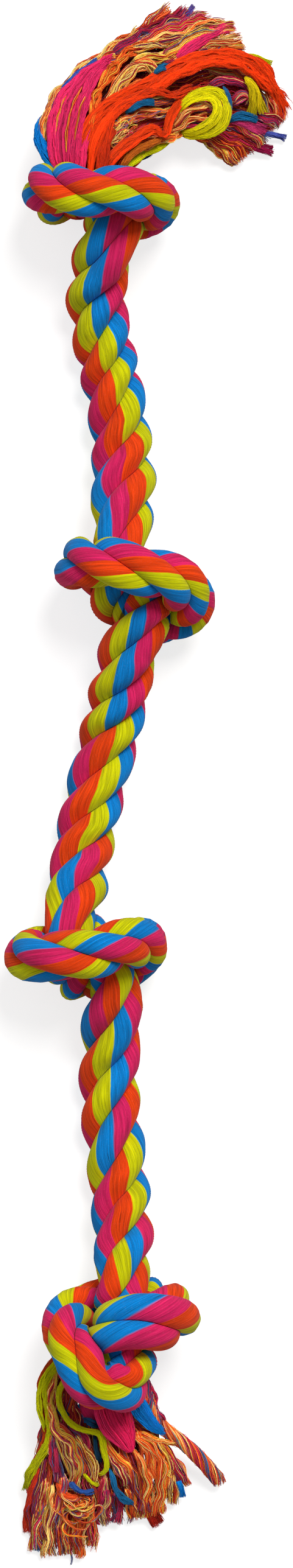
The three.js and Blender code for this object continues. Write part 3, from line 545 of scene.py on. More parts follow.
# ------------------------------------------------------------------ the frayed ends
CREAM, STRAW, APRICOT, RUST, ROSE, SLATE, TEAL, PLUM, OLIVE = (
    (255, 222, 132), (246, 206, 70), (250, 116, 44), (190, 44, 38), (216, 44, 90), (100, 106, 154), (30, 116, 168), (126, 44, 90), (176, 164, 30))
MIXED = [(CREAM, 0.18), (STRAW, 0.08), (APRICOT, 0.26), (RUST, 0.17), (ROSE, 0.17), (SLATE, 0.05), (TEAL, 0.03), (PLUM, 0.05), (OLIVE, 0.01)]
DYES = {"pink": (238, 50, 114), "orange": ORANGE, "yellow": YELLOW, "blue": BLUE}
YARN_SIDES = 3


def linear(c):
    return np.array(srgb(*c)[:3])


class Tassel:
    """Yarns gathered into one mesh for each colour group."""

    def __init__(self, seed):
        self.rng = np.random.default_rng(seed)
        self.groups = {}

    def yarns(self, group, p, thick, dye):
        """p is (yarns, points, 3) in drawing units, thick (yarns,), and the yarns' colours (yarns, points, 3), which
        hold painted shade and painted light in places.
        """
        self.groups.setdefault(group, []).append((p, thick, dye))

    def bundle(self, group, path, radius, count, wave=1.0, twist=0.1, fray=0.5, flat=0.6, thick=0.78, short=0.10, dye=None, mix=None, step=6.0, per_lock=18, own=0.14, gather=0.84, dense=1.5, dive=13.0, sink=0.0):
        """Yarns that follow path, (x, y, z) points, in locks that wave together. radius is the bundle's half width, given along it.
        The yarns come up from dive below the path at its start, and go sink below it at its end."""
        r = self.rng
        count = max(2, round(count * dense))
        g, s = spline(np.array(path, float), step)
        n = len(g)
        t = s / s[-1]
        tan = unit(np.gradient(g, axis=0))
        side = unit(np.cross(tan, (0, 0, 1.0)) + 1e-6)
        over = np.cross(side, tan)

        def disc(many):
            k = np.arange(many)
            rad, ang = np.sqrt((k + 0.5) / many), k * 2.399963 + r.uniform(0, 6.28)
            return np.stack([rad * np.cos(ang), rad * np.sin(ang)], -1)

        many = max(2, round(count / per_lock))
        heart = disc(many) * 0.92 + r.normal(0, 0.06, (many, 2))
        ab = disc(count) + r.normal(0, 0.02, (count, 2))
        lock = np.linalg.norm(ab[:, None] - heart[None], axis=2).argmin(1)
        ab = heart[lock] + (ab - heart[lock]) * gather
        size = np.interp(t, np.linspace(0, 1, len(radius)), radius)
        cut = 1 - short * (0.6 * r.random(many)[lock] + 0.4 * r.random(count))
        begin = 0.05 * r.random(count)
        tt = begin[:, None] + (cut - begin)[:, None] * np.linspace(0, 1, n)[None, :]
        turn = 2 * math.pi * twist * tt
        u = ab[:, :1] * np.cos(turn) - ab[:, 1:] * np.sin(turn)
        v = ab[:, :1] * np.sin(turn) + ab[:, 1:] * np.cos(turn)
        late = np.clip((tt - 0.70) / 0.30, 0, 1) ** 1.6
        spread = 1 + fray * late * (0.35 * r.random((many, 1))[lock] + 0.35 * r.random((count, 1)))

        def along(values):
            return np.stack([np.interp(tt, t, values[:, c]) for c in range(3)], -1)

        at_start = 1 - smooth(tt / 0.14)
        at_end = smooth((tt - 0.80) / 0.18) if sink else 0 * tt
        sz = (np.interp(tt, t, size) * (1 - 0.5 * at_start - 0.5 * at_end))[..., None]
        p = along(g) + sz * (u * spread)[..., None] * along(side) + sz * flat * (v * spread)[..., None] * along(over)
        length = s[-1]
        for height, long, alone in ((1.0, (46, 74), False), (0.45, (26, 44), False), (own, (18, 34), True)):
            some = count if alone else many
            idx = np.arange(count) if alone else lock
            f = (length / r.uniform(*long, some))[idx][:, None]
            ph, ph2 = (r.uniform(0, 6.28, some)[idx][:, None] for _ in range(2))
            amp = wave * 3.2 * height * (0.2 + 0.8 * smooth(tt / 0.5)) * r.uniform(0.5, 1.3, some)[idx][:, None]
            p += (amp * np.sin(2 * math.pi * f * tt + ph))[..., None] * along(side)
            p += (0.5 * amp * np.sin(2 * math.pi * f * tt * 0.9 + ph2))[..., None] * along(over)
        # a few yarns stand off from the rest
        stray = (r.random(count) < 0.05)[:, None] * late * r.normal(0, 5, (count, 1)) * min(1.0, fray)
        p += stray[..., None] * along(side)
        p[..., 2] -= dive * at_start + sink * at_end
        p[..., 2] = FLOOR + 1.4 + np.logaddexp(0, (p[..., 2] - FLOOR - 1.4) / 3) * 3
        dye = dye or DYES.get(group)
        if dye is not None:
            c = linear(dye)[None, None, :] * (r.uniform(0.94, 1.25, many)[lock] * r.uniform(0.70, 1.22, count))[:, None, None]
            c = c * r.uniform(0.95, 1.05, (count, 1, 3)) * np.ones((count, n, 1))
        else:
            palette = mix or MIXED
            w = np.array([x[1] for x in palette])
            col = np.array([linear(x[0]) for x in palette])
            pick = r.choice(len(palette), many, p=w / w.sum())[lock]
            single = r.choice(len(palette), count, p=w / w.sum())
            first = np.where(r.random(count) < 0.22, pick, single)
            second = r.choice(len(palette), count, p=w / w.sum())
            share = smooth(0.5 + 1.1 * np.sin(2 * math.pi * tt * r.uniform(0.3, 1.2, (count, 1)) + r.uniform(0, 6.28, (count, 1))) - 0.65)[..., None]
            c = (col[first][:, None, :] * (1 - share) + col[second][:, None, :] * share) * (r.uniform(0.97, 1.28, many)[lock] * r.uniform(0.62, 1.28, count))[:, None, None]
        self.yarns(group, p, thick * r.uniform(0.75, 1.25, count), c)
        # fine fibres that have worked loose
        some = r.choice(count, max(1, count // 5), replace=False)
        f, ph, size = (r.uniform(a, b, (len(some), 1)) for a, b in ((0.6 * length / 30, 1.4 * length / 30), (0, 6.28), (0.8, 3.0)))
        off = size * np.sin(2 * math.pi * f * tt[some] + ph)
        q = p[some] + off[..., None] * along(side)[some]
        q[..., 2] += np.abs(off) * 0.7 * (1 - at_start[some])
        self.yarns(group, q, thick * r.uniform(0.32, 0.45, len(some)), c[some] * 1.08)

    def hank(self, group, path, radius, count, **how):
        """Fine combed yarns of one dye, in a flat band."""
        self.bundle(group, path, radius, count, **{"wave": 0.45, "twist": 0.04, "fray": 0.4, "flat": 0.42, "thick": 0.58, "per_lock": 22, "own": 0.2, "gather": 0.78, "dense": 1.7, "step": 9.2, **how})

    def lots(self, group, most=190000):
        """The group's bundles, shared out so that no piece has too many faces."""
        shares, size = [[]], 0
        for yarns in self.groups[group]:
            count, n = yarns[0].shape[:2]
            faces = 2 * count * n * YARN_SIDES
            if shares[-1] and size + faces > most:
                shares.append([])
                size = 0
            shares[-1].append(yarns)
            size += faces
        return shares

    def build(self, name, lot, material):
        verts, quads, ngons, dyes, uvs, caps_uv, flats, caps_flat = [], [], [], [], [], [], [], []
        total = sum(p.shape[0] for p, _, _ in lot)
        columns = max(1, int(math.ceil(math.sqrt(total / 9))))
        lines = int(math.ceil(total / columns))
        base, made, m = 0, 0, YARN_SIDES
        for p, thick, dye in lot:
            count, n = p.shape[:2]
            q = p * (1, -1, 1)
            tan, nor, bi = carried_frames(q, (0.13, 0.21, 0.97))
            a = np.linspace(0, 2 * math.pi, m, endpoint=False)
            taper = np.minimum(1, 0.55 + 0.45 * np.linspace(1, 0, n) * n / 2.5)[None, :]
            r = thick[:, None] * taper
            ringv = q[:, :, None, :] + r[..., None, None] * (np.cos(a)[:, None] * nor[:, :, None, :] + np.sin(a)[:, None] * bi[:, :, None, :])
            verts.append((ringv * (1, -1, 1)).reshape(-1, 3))
            dyes.append(np.repeat(dye, m, axis=1).reshape(-1, 3) if dye.ndim == 3 else dye)
            y, i, j = np.meshgrid(np.arange(count), np.arange(n - 1), np.arange(m), indexing="ij")
            at = base + (y * n + i) * m
            j1 = (j + 1) % m
            quads.append(np.stack([at + j, at + j1, at + m + j1, at + m + j], -1).reshape(-1, 4))
            ids = base + np.arange(count)[:, None] * n * m
            first = ids + np.arange(m)[::-1][None, :]
            last = ids + (n - 1) * m + np.arange(m)[None, :]
            ngons.append(np.concatenate([first, last]))
            lng = np.concatenate([np.zeros((count, 1)), np.cumsum(np.linalg.norm(np.diff(p, axis=1), axis=2), 1)], 1)
            off = (made + np.arange(count)) * 7.31

            def yarn_uv(ii, jj):
                return np.stack([jj / m + off[y] % 50, lng[y, ii] + off[y]], -1)

            uvs.append(np.stack([yarn_uv(i, j), yarn_uv(i, j + 1), yarn_uv(i + 1, j + 1), yarn_uv(i + 1, j)], 3).reshape(-1, 2))
            caps_uv.append(np.zeros((2 * count * m, 2)))
            slot = made + y
            cx, cy = slot % columns, slot // columns

            def flat_uv(ii, jj):
                return np.stack([(cx + 0.06 + 0.86 * ii / (n - 1)) / columns, (cy + 0.1 + 0.8 * jj / m) / lines], -1)

            flats.append(np.stack([flat_uv(i, j), flat_uv(i, j + 1), flat_uv(i + 1, j + 1), flat_uv(i + 1, j)], 3).reshape(-1, 2))
            who = made + np.arange(count)
            disc = np.stack([np.cos(a), np.sin(a)], -1) * np.array([0.012 / columns, 0.012 / lines * 20])
            spot0 = np.stack([(who % columns + 0.03) / columns, (who // columns + 0.5) / lines], -1)
            spot1 = np.stack([(who % columns + 0.96) / columns, (who // columns + 0.5) / lines], -1)
            caps_flat.append(np.concatenate([(spot0[:, None, :] + disc[None]).reshape(-1, 2), (spot1[:, None, :] + disc[None]).reshape(-1, 2)]))
            base += count * n * m
            made += count
        ob = new_mesh(name, place(np.concatenate(verts)), np.concatenate(quads), [g for b in ngons for g in b], material)
        add_uv(ob, "yarns", np.concatenate(uvs + caps_uv))
        add_uv(ob, "OFBake", np.concatenate(flats + caps_flat))
        dye = np.concatenate(dyes)
        layer = ob.data.color_attributes.new(name="dye", type="FLOAT_COLOR", domain="POINT")
        layer.data.foreach_set("color", np.concatenate([dye, np.ones((len(dye), 1))], 1).astype(np.float32).ravel())
        return ob


GOLD = [(APRICOT, 0.42), (STRAW, 0.22), ((232, 84, 24), 0.36)]
WHEAT = [(CREAM, 0.36), (STRAW, 0.14), (APRICOT, 0.2), (RUST, 0.24), (PLUM, 0.06)]
EMBER = [(APRICOT, 0.32), ((236, 92, 20), 0.24), (STRAW, 0.12), (CREAM, 0.14), (RUST, 0.18)]
# the lower layer's yarn colours, darker than the rest: painted shade under the locks on top
PAINTED_SHADE_MIX = [(RUST, 0.34), (ROSE, 0.22), (PLUM, 0.12), (APRICOT, 0.2), (CREAM, 0.08), (SLATE, 0.04)]
CORD = [(CREAM, 0.26), (APRICOT, 0.3), (ROSE, 0.2), (RUST, 0.14), (TEAL, 0.1)]
BERRY = [(ROSE, 0.42), (PLUM, 0.2), (RUST, 0.16), (CREAM, 0.1), (SLATE, 0.12)]

top = Tassel(5)
B, H = top.bundle, top.hank
# the body of the fan, mixed yarns from the knot to the cut ends, the lower layer first, its yarns darker as painted
# shade under the locks on top
FAN = [
    ([(95, 285, 110), (84, 225, 92), (104, 165, 70), (165, 108, 46), (240, 58, 32), (290, 18, 22)], [18, 20, 22, 24, 22, 20]),
    ([(115, 285, 110), (118, 225, 98), (145, 160, 72), (205, 105, 46), (285, 58, 32), (335, 28, 20)], [20, 24, 26, 28, 26, 24]),
    ([(135, 285, 112), (140, 225, 100), (175, 165, 74), (240, 118, 48), (320, 78, 32), (384, 56, 20)], [20, 24, 28, 30, 28, 26]),
    ([(155, 285, 112), (165, 225, 100), (205, 172, 74), (270, 135, 48), (340, 112, 32), (400, 96, 18)], [20, 24, 28, 28, 28, 26]),
    ([(175, 285, 112), (190, 230, 100), (232, 188, 74), (295, 160, 48), (370, 150, 30), (444, 164, 18)], [18, 22, 26, 28, 28, 26]),
    ([(190, 285, 110), (212, 238, 98), (252, 204, 70), (310, 186, 44), (375, 188, 28), (436, 206, 16)], [16, 18, 20, 24, 26, 24]),
    ([(200, 288, 105), (232, 246, 90), (268, 220, 60), (315, 212, 38), (356, 228, 24), (394, 256, 15)], [10, 12, 13, 15, 17, 18]),
]
FAN += [
    ([(330, 110, 52), (380, 118, 40), (424, 142, 28), (452, 178, 18), (458, 206, 13)], [12, 15, 16, 15, 12]),
    ([(300, 190, 56), (340, 196, 44), (390, 196, 32), (430, 200, 20), (456, 206, 13)], [14, 18, 20, 20, 16]),
    ([(310, 214, 44), (350, 216, 36), (390, 226, 26), (424, 240, 15)], [10, 15, 18, 18]),
    ([(310, 216, 40), (344, 228, 32), (372, 246, 24), (396, 264, 14)], [8, 12, 15, 14]),
]
for path, rad in FAN:
    B("mixed_low", path, rad, 96, wave=1.0, fray=0.3, short=0.10, mix=PAINTED_SHADE_MIX, step=9.0)
# wavy locks on top of them
LOCKS = [
    ([(84, 270, 120), (72, 240, 122), (72, 206, 118), (85, 172, 110), (110, 138, 97), (146, 108, 85), (188, 80, 71), (236, 50, 54)], [4, 6, 8, 8, 8, 8, 9, 9], 60, WHEAT),
    ([(120, 150, 108), (160, 112, 94), (215, 74, 76), (262, 36, 56), (284, 10, 40)], [8, 11, 12, 12, 12], 52, MIXED),
    ([(180, 92, 96), (230, 62, 80), (280, 36, 62), (312, 14, 44)], [9, 11, 12, 12], 46, BERRY),
    ([(205, 96, 98), (250, 64, 84), (300, 40, 66), (350, 28, 46)], [9, 12, 12, 12], 50, MIXED),
    ([(230, 84, 98), (262, 68, 90), (292, 62, 78), (330, 48, 62), (372, 40, 44)], [8, 11, 10, 11, 12], 48, WHEAT),
    ([(212, 78, 100), (240, 76, 98), (262, 70, 92), (276, 76, 86)], [6, 9, 9, 5], 34, WHEAT),
    ([(214, 106, 96), (240, 94, 94), (268, 94, 88), (300, 82, 80)], [6, 9, 9, 7], 48, WHEAT),
    ([(262, 110, 92), (284, 104, 86), (312, 90, 78), (344, 80, 66)], [5, 7, 8, 8], 40, BERRY),
    ([(262, 100, 96), (280, 84, 88), (306, 66, 78), (346, 50, 62), (388, 46, 44)], [8, 11, 11, 12, 12], 48, MIXED),
    ([(270, 108, 90), (300, 92, 82), (338, 76, 68), (372, 66, 56), (402, 66, 38)], [6, 8, 9, 10, 10], 40, WHEAT),
    ([(310, 100, 74), (350, 84, 62), (384, 78, 50), (404, 82, 34)], [7, 9, 10, 10], 38, MIXED),
    ([(146, 246, 140), (150, 207, 138), (162, 152, 122), (185, 114, 110), (210, 88, 100), (232, 77, 92)], [4, 6, 7, 8, 8, 6], 66, GOLD),
    ([(168, 196, 124), (180, 164, 118), (202, 132, 112), (226, 108, 108), (243, 106, 104), (252, 120, 96), (242, 130, 88)], [4, 8, 11, 12, 10, 8, 4], 84, WHEAT),
    ([(172, 190, 118), (190, 160, 112), (216, 144, 106), (240, 136, 98), (250, 132, 90)], [4, 8, 9, 7, 4], 46, MIXED),
    ([(184, 190, 122), (202, 174, 116), (232, 162, 108), (262, 166, 100), (290, 160, 90)], [5, 7, 7, 7, 5], 40, MIXED),
    ([(182, 232, 122), (196, 206, 116), (222, 192, 104), (250, 184, 96), (280, 184, 88)], [6, 9, 10, 9, 6], 52, MIXED),
    ([(186, 262, 118), (206, 250, 110), (236, 238, 98), (262, 232, 86), (278, 226, 76), (300, 214, 66)], [6, 8, 8, 7, 6, 4], 46, EMBER),
    ([(280, 216, 74), (296, 194, 84), (318, 178, 90), (344, 172, 88), (352, 184, 80)], [4, 7, 7, 6, 3], 46, WHEAT),
    ([(276, 222, 70), (298, 204, 78), (322, 192, 84), (344, 190, 80)], [3, 6, 7, 4], 40, EMBER),
    ([(284, 214, 66), (304, 204, 72), (328, 202, 76), (342, 198, 72)], [3, 5, 5, 3], 26, BERRY),
    ([(340, 142, 66), (364, 132, 62), (390, 134, 54), (402, 146, 46), (396, 156, 38)], [5, 7, 8, 7, 4], 36, BERRY),
    ([(380, 172, 60), (394, 160, 56), (408, 158, 50), (412, 174, 42)], [6, 9, 9, 7], 40, BERRY),
    ([(312, 220, 46), (340, 222, 40), (364, 232, 32), (388, 248, 24), (402, 262, 16)], [7, 10, 12, 13, 13], 62, EMBER),
    ([(320, 222, 40), (346, 236, 32), (370, 252, 24), (390, 270, 14)], [5, 8, 10, 11], 46, WHEAT),
    ([(372, 196, 48), (398, 206, 40), (418, 224, 30), (432, 240, 18)], [6, 10, 11, 11], 48, MIXED),
    ([(414, 190, 40), (438, 196, 30), (462, 204, 16)], [7, 9, 10], 36, BERRY),
]
for path, rad, count, mix in LOCKS:
    B("mixed_top", path, rad, count, mix=mix, fray=0.6)
r = top.rng
for _ in range(34):  # frizz
    x, y, z = 176 + r.normal(0, 6), 226 + r.normal(0, 9), 122 + r.normal(0, 3)
    dx, dy = r.uniform(26, 46), -r.uniform(10, 30)
    k = np.linspace(0, 1, 9)
    B("mixed_top", np.stack([x + dx * k + 4 * np.sin(9 * k + r.uniform(0, 6)), y + dy * k + 6 * np.sin(r.uniform(6, 11) * k + r.uniform(0, 6)), z + 3 * np.sin(7 * k) - 8 * k], 1), [1.0, 1.6, 1.2], 2, wave=0.5, fray=0.3, mix=WHEAT if r.random() < 0.5 else MIXED, step=3.0, thick=0.6, dive=5.0)
# hanks of one dye
H("blue", [(106, 292, 132), (92, 270, 132), (77, 252, 128), (66, 232, 124), (64, 210, 118), (70, 188, 112)], [9, 13, 13, 10, 6, 2], 150)
H("blue", [(78, 206, 122), (86, 182, 118), (102, 150, 110), (132, 117, 98), (164, 94, 84)], [2, 4, 4, 4, 2], 34, dye=(60, 100, 196))
for path in ([(100, 292, 140), (91, 252, 136), (89, 206, 128), (101, 164, 116), (130, 128, 102), (162, 103, 90)],
             [(108, 292, 145), (102, 252, 143), (103, 204, 136), (119, 154, 122), (150, 114, 106), (188, 92, 92)],
             [(120, 292, 148), (120, 252, 147), (126, 204, 140), (141, 156, 126), (160, 120, 112), (182, 98, 100)]):
    H("pink", path, [10, 13, 13, 11, 8, 4], 150)
for path in ([(110, 262, 149), (109, 226, 148), (114, 192, 144), (124, 162, 135), (140, 136, 124)], [(94, 232, 141), (94, 200, 138), (102, 172, 131), (118, 146, 120)], [(122, 240, 151), (125, 206, 147), (133, 176, 139), (146, 148, 128)]):
    B("mixed_top", path, [0.4, 1.6, 1.8, 1.4, 0.4], 5, wave=0.25, fray=0.1, mix=GOLD, thick=0.6, dive=4.0, sink=4.0)
H("pink", [(132, 292, 146), (136, 256, 145), (144, 216, 140), (152, 186, 132)], [6, 8, 6, 2], 60)
H("pink", [(284, 104, 94), (304, 84, 88), (336, 62, 72), (366, 46, 56), (388, 40, 42)], [4, 9, 9, 9, 8], 80, fray=0.6)
H("pink", [(256, 72, 84), (264, 60, 80), (274, 50, 72)], [3, 7, 3], 34)
H("pink", [(284, 48, 66), (302, 32, 54), (318, 18, 40)], [3, 8, 7], 40, fray=0.6)
H("pink", [(372, 196, 50), (392, 200, 48), (414, 206, 40), (438, 216, 26)], [6, 8, 10, 11], 80, fray=0.5, dye=(208, 60, 120))
H("pink", [(410, 236, 26), (430, 244, 20), (450, 248, 12)], [6, 9, 9], 50, fray=0.5, dye=(176, 24, 84))
H("orange", [(134, 292, 142), (134, 252, 143), (142, 216, 140), (162, 184, 132), (194, 160, 122), (238, 139, 110), (274, 118, 100), (312, 99, 90), (352, 91, 80), (392, 93, 70), (424, 108, 56), (446, 138, 42), (460, 172, 24), (467, 202, 14)], [9, 11, 11, 10, 9, 10, 11, 11, 11, 11, 10, 9, 9, 10], 170, wave=0.6)
H("orange", [(148, 292, 144), (152, 254, 144), (160, 224, 140), (176, 198, 132), (206, 170, 124), (246, 150, 114), (284, 126, 104), (320, 108, 94), (356, 100, 82), (392, 104, 70), (420, 122, 56), (446, 146, 38), (468, 166, 20), (479, 182, 14)], [9, 10, 10, 9, 9, 9, 9, 10, 10, 10, 9, 8, 7, 6], 150, wave=0.6, fray=0.9)
# a darker orange than the other orange hanks: painted shade near the knot
H("orange", [(158, 290, 140), (168, 252, 140), (177, 217, 136), (188, 188, 130), (212, 166, 124), (242, 153, 117), (268, 152, 112), (286, 158, 106), (304, 147, 102), (330, 144, 96)], [7, 8, 7, 6, 6, 7, 6, 6, 6, 4], 80, wave=0.6, dye=(226, 62, 16))
H("orange", [(172, 292, 138), (182, 264, 138), (204, 241, 132), (232, 222, 122), (256, 213, 112), (270, 222, 100), (279, 199, 97), (292, 171, 97), (312, 153, 97), (338, 146, 92)], [9, 10, 10, 10, 9, 6, 8, 8, 7, 4], 120, wave=0.5)
# a darker orange still: painted shade near the knot
H("orange", [(164, 292, 143), (170, 258, 143), (178, 230, 137), (188, 208, 128)], [8, 10, 8, 3], 80, dye=(208, 54, 16))
H("orange", [(196, 280, 126), (214, 256, 122), (240, 238, 110), (266, 230, 96)], [5, 7, 7, 4], 50, dye=(214, 116, 32))
H("orange", [(398, 88, 62), (426, 98, 54), (444, 112, 44), (452, 130, 32)], [2, 3, 3, 2], 20, fray=0.3)
H("yellow", [(282, 196, 94), (296, 172, 98), (322, 153, 100), (352, 149, 100), (372, 166, 98), (371, 192, 92), (357, 213, 82), (330, 221, 72), (296, 222, 58)], [2, 5, 6, 8, 8, 9, 9, 8, 4], 110, wave=0.4, dye=(246, 238, 8))
H("yellow", [(290, 190, 92), (306, 172, 96), (330, 160, 100), (350, 162, 101), (358, 178, 98), (351, 196, 92), (336, 209, 82), (314, 216, 70), (290, 220, 56)], [2, 4, 5, 7, 9, 9, 9, 7, 4], 100, wave=0.4, dye=(246, 238, 8))
H("yellow", [(200, 290, 112), (212, 268, 108), (236, 252, 94), (262, 240, 76), (284, 228, 62)], [6, 9, 9, 7, 4], 80)
H("yellow", [(402, 126, 68), (413, 140, 64), (420, 160, 56), (422, 188, 42)], [4, 8, 12, 17], 110, fray=0.7, dye=(226, 202, 14))
H("yellow", [(404, 90, 40), (426, 98, 36), (446, 108, 24)], [5, 7, 8], 50, fray=0.6)
H("blue", [(366, 142, 104), (376, 160, 100), (375, 186, 92), (368, 208, 80)], [2, 5, 5, 3], 36, dye=(44, 112, 168), sink=14.0)
H("blue", [(206, 186, 124), (220, 174, 121), (240, 167, 115), (260, 172, 106)], [3, 8, 8, 4], 54, dye=TEAL, sink=14.0)
H("blue", [(252, 124, 114), (262, 112, 110), (278, 108, 102)], [4, 6, 4], 34, dye=TEAL, sink=14.0)
H("blue", [(374, 200, 58), (390, 190, 56), (408, 192, 50), (424, 198, 42)], [4, 7, 7, 6], 50, dye=TEAL)
H("blue", [(430, 220, 26), (452, 222, 20), (471, 226, 12)], [4, 5, 6], 34, dye=(84, 96, 182))
H("blue", [(204, 288, 102), (214, 272, 97), (229, 261, 86), (242, 256, 78), (252, 248, 70)], [3, 4, 5, 5, 3], 24, dye=(40, 74, 128), sink=14.0)
H("blue", [(268, 46, 62), (274, 36, 56), (282, 26, 48)], [2, 4, 4], 18, dye=SLATE)
H("blue", [(302, 30, 58), (310, 20, 50), (318, 8, 40)], [2, 4, 4], 18, dye=(104, 84, 168))

bottom = Tassel(23)
B, H = bottom.bundle, bottom.hank
FAN = [
    ([(140, 2250, 88), (108, 2278, 84), (88, 2330, 72), (76, 2410, 48), (68, 2480, 28), (72, 2540, 16)], [13, 17, 20, 24, 26, 24]),
    ([(120, 2300, 80), (112, 2360, 66), (104, 2430, 44), (98, 2500, 26), (102, 2556, 16)], [16, 20, 24, 26, 24]),
    ([(140, 2310, 78), (140, 2370, 66), (138, 2440, 44), (134, 2505, 26), (134, 2552, 16)], [16, 20, 24, 26, 24]),
    ([(165, 2310, 78), (170, 2370, 64), (176, 2430, 42), (180, 2474, 26), (182, 2502, 16)], [16, 20, 24, 26, 26]),
    ([(190, 2310, 76), (204, 2370, 62), (216, 2425, 42), (226, 2468, 26), (234, 2498, 16)], [16, 20, 22, 24, 24]),
    ([(182, 2262, 78), (222, 2298, 76), (240, 2345, 62), (258, 2390, 42), (274, 2428, 26), (288, 2454, 16)], [11, 14, 17, 18, 20, 18]),
    ([(114, 2206, 108), (92, 2240, 98), (82, 2290, 88), (84, 2340, 74), (88, 2390, 56)], [6, 9, 14, 16, 14]),
]
FAN += [
    ([(144, 2260, 90), (116, 2292, 95), (112, 2330, 90), (130, 2370, 80), (150, 2420, 62), (160, 2480, 34)], [9, 13, 18, 22, 24, 22]),
    ([(180, 2330, 90), (200, 2380, 78), (222, 2430, 56), (238, 2486, 22)], [14, 20, 22, 22]),
    ([(184, 2292, 76), (214, 2330, 86), (246, 2366, 74), (272, 2410, 50), (292, 2446, 22)], [9, 12, 16, 18, 18]),
    ([(84, 2380, 70), (76, 2430, 54), (70, 2490, 32), (70, 2540, 15)], [12, 18, 20, 20]),
    ([(146, 2222, 98), (118, 2234, 86), (108, 2258, 88), (106, 2290, 92), (116, 2330, 88), (128, 2376, 76)], [10, 14, 18, 18, 17, 14]),
]
# the lower layer in darker colours: painted shade under the locks on top
for path, rad in FAN:
    B("mixed_low", path, rad, 96, wave=0.9, fray=0.3, short=0.12, mix=PAINTED_SHADE_MIX, step=9.0)
LOCKS = [
    ([(116, 2208, 120), (96, 2246, 122), (84, 2288, 114), (86, 2324, 106), (94, 2346, 100), (110, 2364, 94), (124, 2384, 86), (130, 2408, 76), (126, 2430, 66)], [4, 5, 7, 8, 9, 11, 12, 11, 9], 80, MIXED),
    ([(88, 2330, 102), (96, 2360, 94), (112, 2392, 84), (122, 2424, 70), (118, 2452, 58)], [5, 9, 11, 11, 8], 60, WHEAT),
    ([(86, 2340, 98), (88, 2376, 88), (94, 2410, 76), (98, 2436, 64)], [5, 9, 10, 8], 52, BERRY),
    ([(116, 2352, 94), (130, 2372, 90), (146, 2396, 82), (154, 2420, 72), (152, 2436, 64), (142, 2440, 58)], [5, 8, 10, 10, 7, 4], 56, WHEAT),
    ([(110, 2340, 96), (126, 2350, 94), (140, 2362, 92), (146, 2380, 84)], [4, 7, 7, 4], 34, BERRY),
    ([(104, 2420, 78), (104, 2446, 66), (96, 2478, 52), (90, 2512, 34)], [6, 9, 10, 9], 48, MIXED),
    ([(76, 2420, 66), (74, 2450, 54), (68, 2480, 42), (61, 2512, 28), (61, 2552, 14)], [5, 9, 10, 11, 12], 56, MIXED),
    ([(84, 2430, 66), (82, 2470, 50), (79, 2512, 32), (80, 2562, 14)], [6, 9, 10, 11], 52, WHEAT),
    ([(98, 2470, 54), (104, 2506, 36), (108, 2558, 14)], [7, 10, 12], 50, MIXED),
    ([(122, 2490, 46), (128, 2520, 30), (130, 2560, 14)], [8, 10, 11], 50, EMBER),
    ([(146, 2478, 44), (150, 2506, 30), (150, 2542, 14)], [8, 10, 10], 44, MIXED),
    ([(166, 2352, 104), (176, 2374, 96), (190, 2392, 88), (206, 2406, 78), (214, 2426, 66)], [3, 6, 8, 8, 6], 44, EMBER),
    ([(172, 2380, 92), (188, 2400, 84), (202, 2420, 74), (212, 2440, 60)], [5, 9, 10, 8], 52, BERRY),
    ([(170, 2420, 74), (172, 2450, 60), (168, 2480, 42), (172, 2506, 22)], [6, 10, 11, 11], 54, BERRY),
    ([(206, 2440, 58), (216, 2466, 42), (220, 2496, 20)], [6, 9, 10], 42, EMBER),
    ([(190, 2450, 56), (194, 2474, 42), (192, 2502, 20)], [7, 10, 11], 42, BERRY),
    ([(214, 2352, 104), (224, 2362, 98), (242, 2372, 90), (258, 2394, 78), (264, 2424, 62), (260, 2456, 42), (258, 2490, 20)], [4, 7, 9, 11, 11, 11, 11], 84, EMBER),
    ([(218, 2380, 92), (230, 2400, 82), (240, 2428, 66), (240, 2462, 44), (236, 2498, 18)], [4, 8, 10, 10, 11], 72, EMBER),
    ([(226, 2352, 98), (244, 2360, 92), (270, 2368, 80), (290, 2372, 70)], [4, 6, 6, 5], 40, EMBER),
    ([(250, 2362, 84), (272, 2384, 70), (288, 2410, 54), (300, 2436, 34)], [6, 9, 10, 10], 60, BERRY),
    ([(258, 2384, 76), (274, 2412, 58), (284, 2440, 40), (280, 2472, 20)], [5, 8, 9, 9], 48, WHEAT),
    ([(282, 2392, 60), (298, 2414, 46), (308, 2442, 24)], [4, 7, 9], 36, MIXED),
    ([(222, 2348, 98), (234, 2374, 88), (244, 2400, 76), (250, 2432, 58)], [4, 9, 11, 9], 62, EMBER),
    ([(226, 2240, 118), (239, 2268, 110), (248, 2294, 104), (256, 2320, 96), (270, 2342, 86)], [4, 6, 8, 8, 5], 54, BERRY),
    ([(244, 2356, 90), (262, 2372, 80), (276, 2396, 66), (284, 2424, 48)], [4, 8, 9, 9], 54, MIXED),
]
for path, rad, count, mix in LOCKS:
    B("mixed_top", path, rad, count, mix=mix, fray=0.7, wave=0.8)
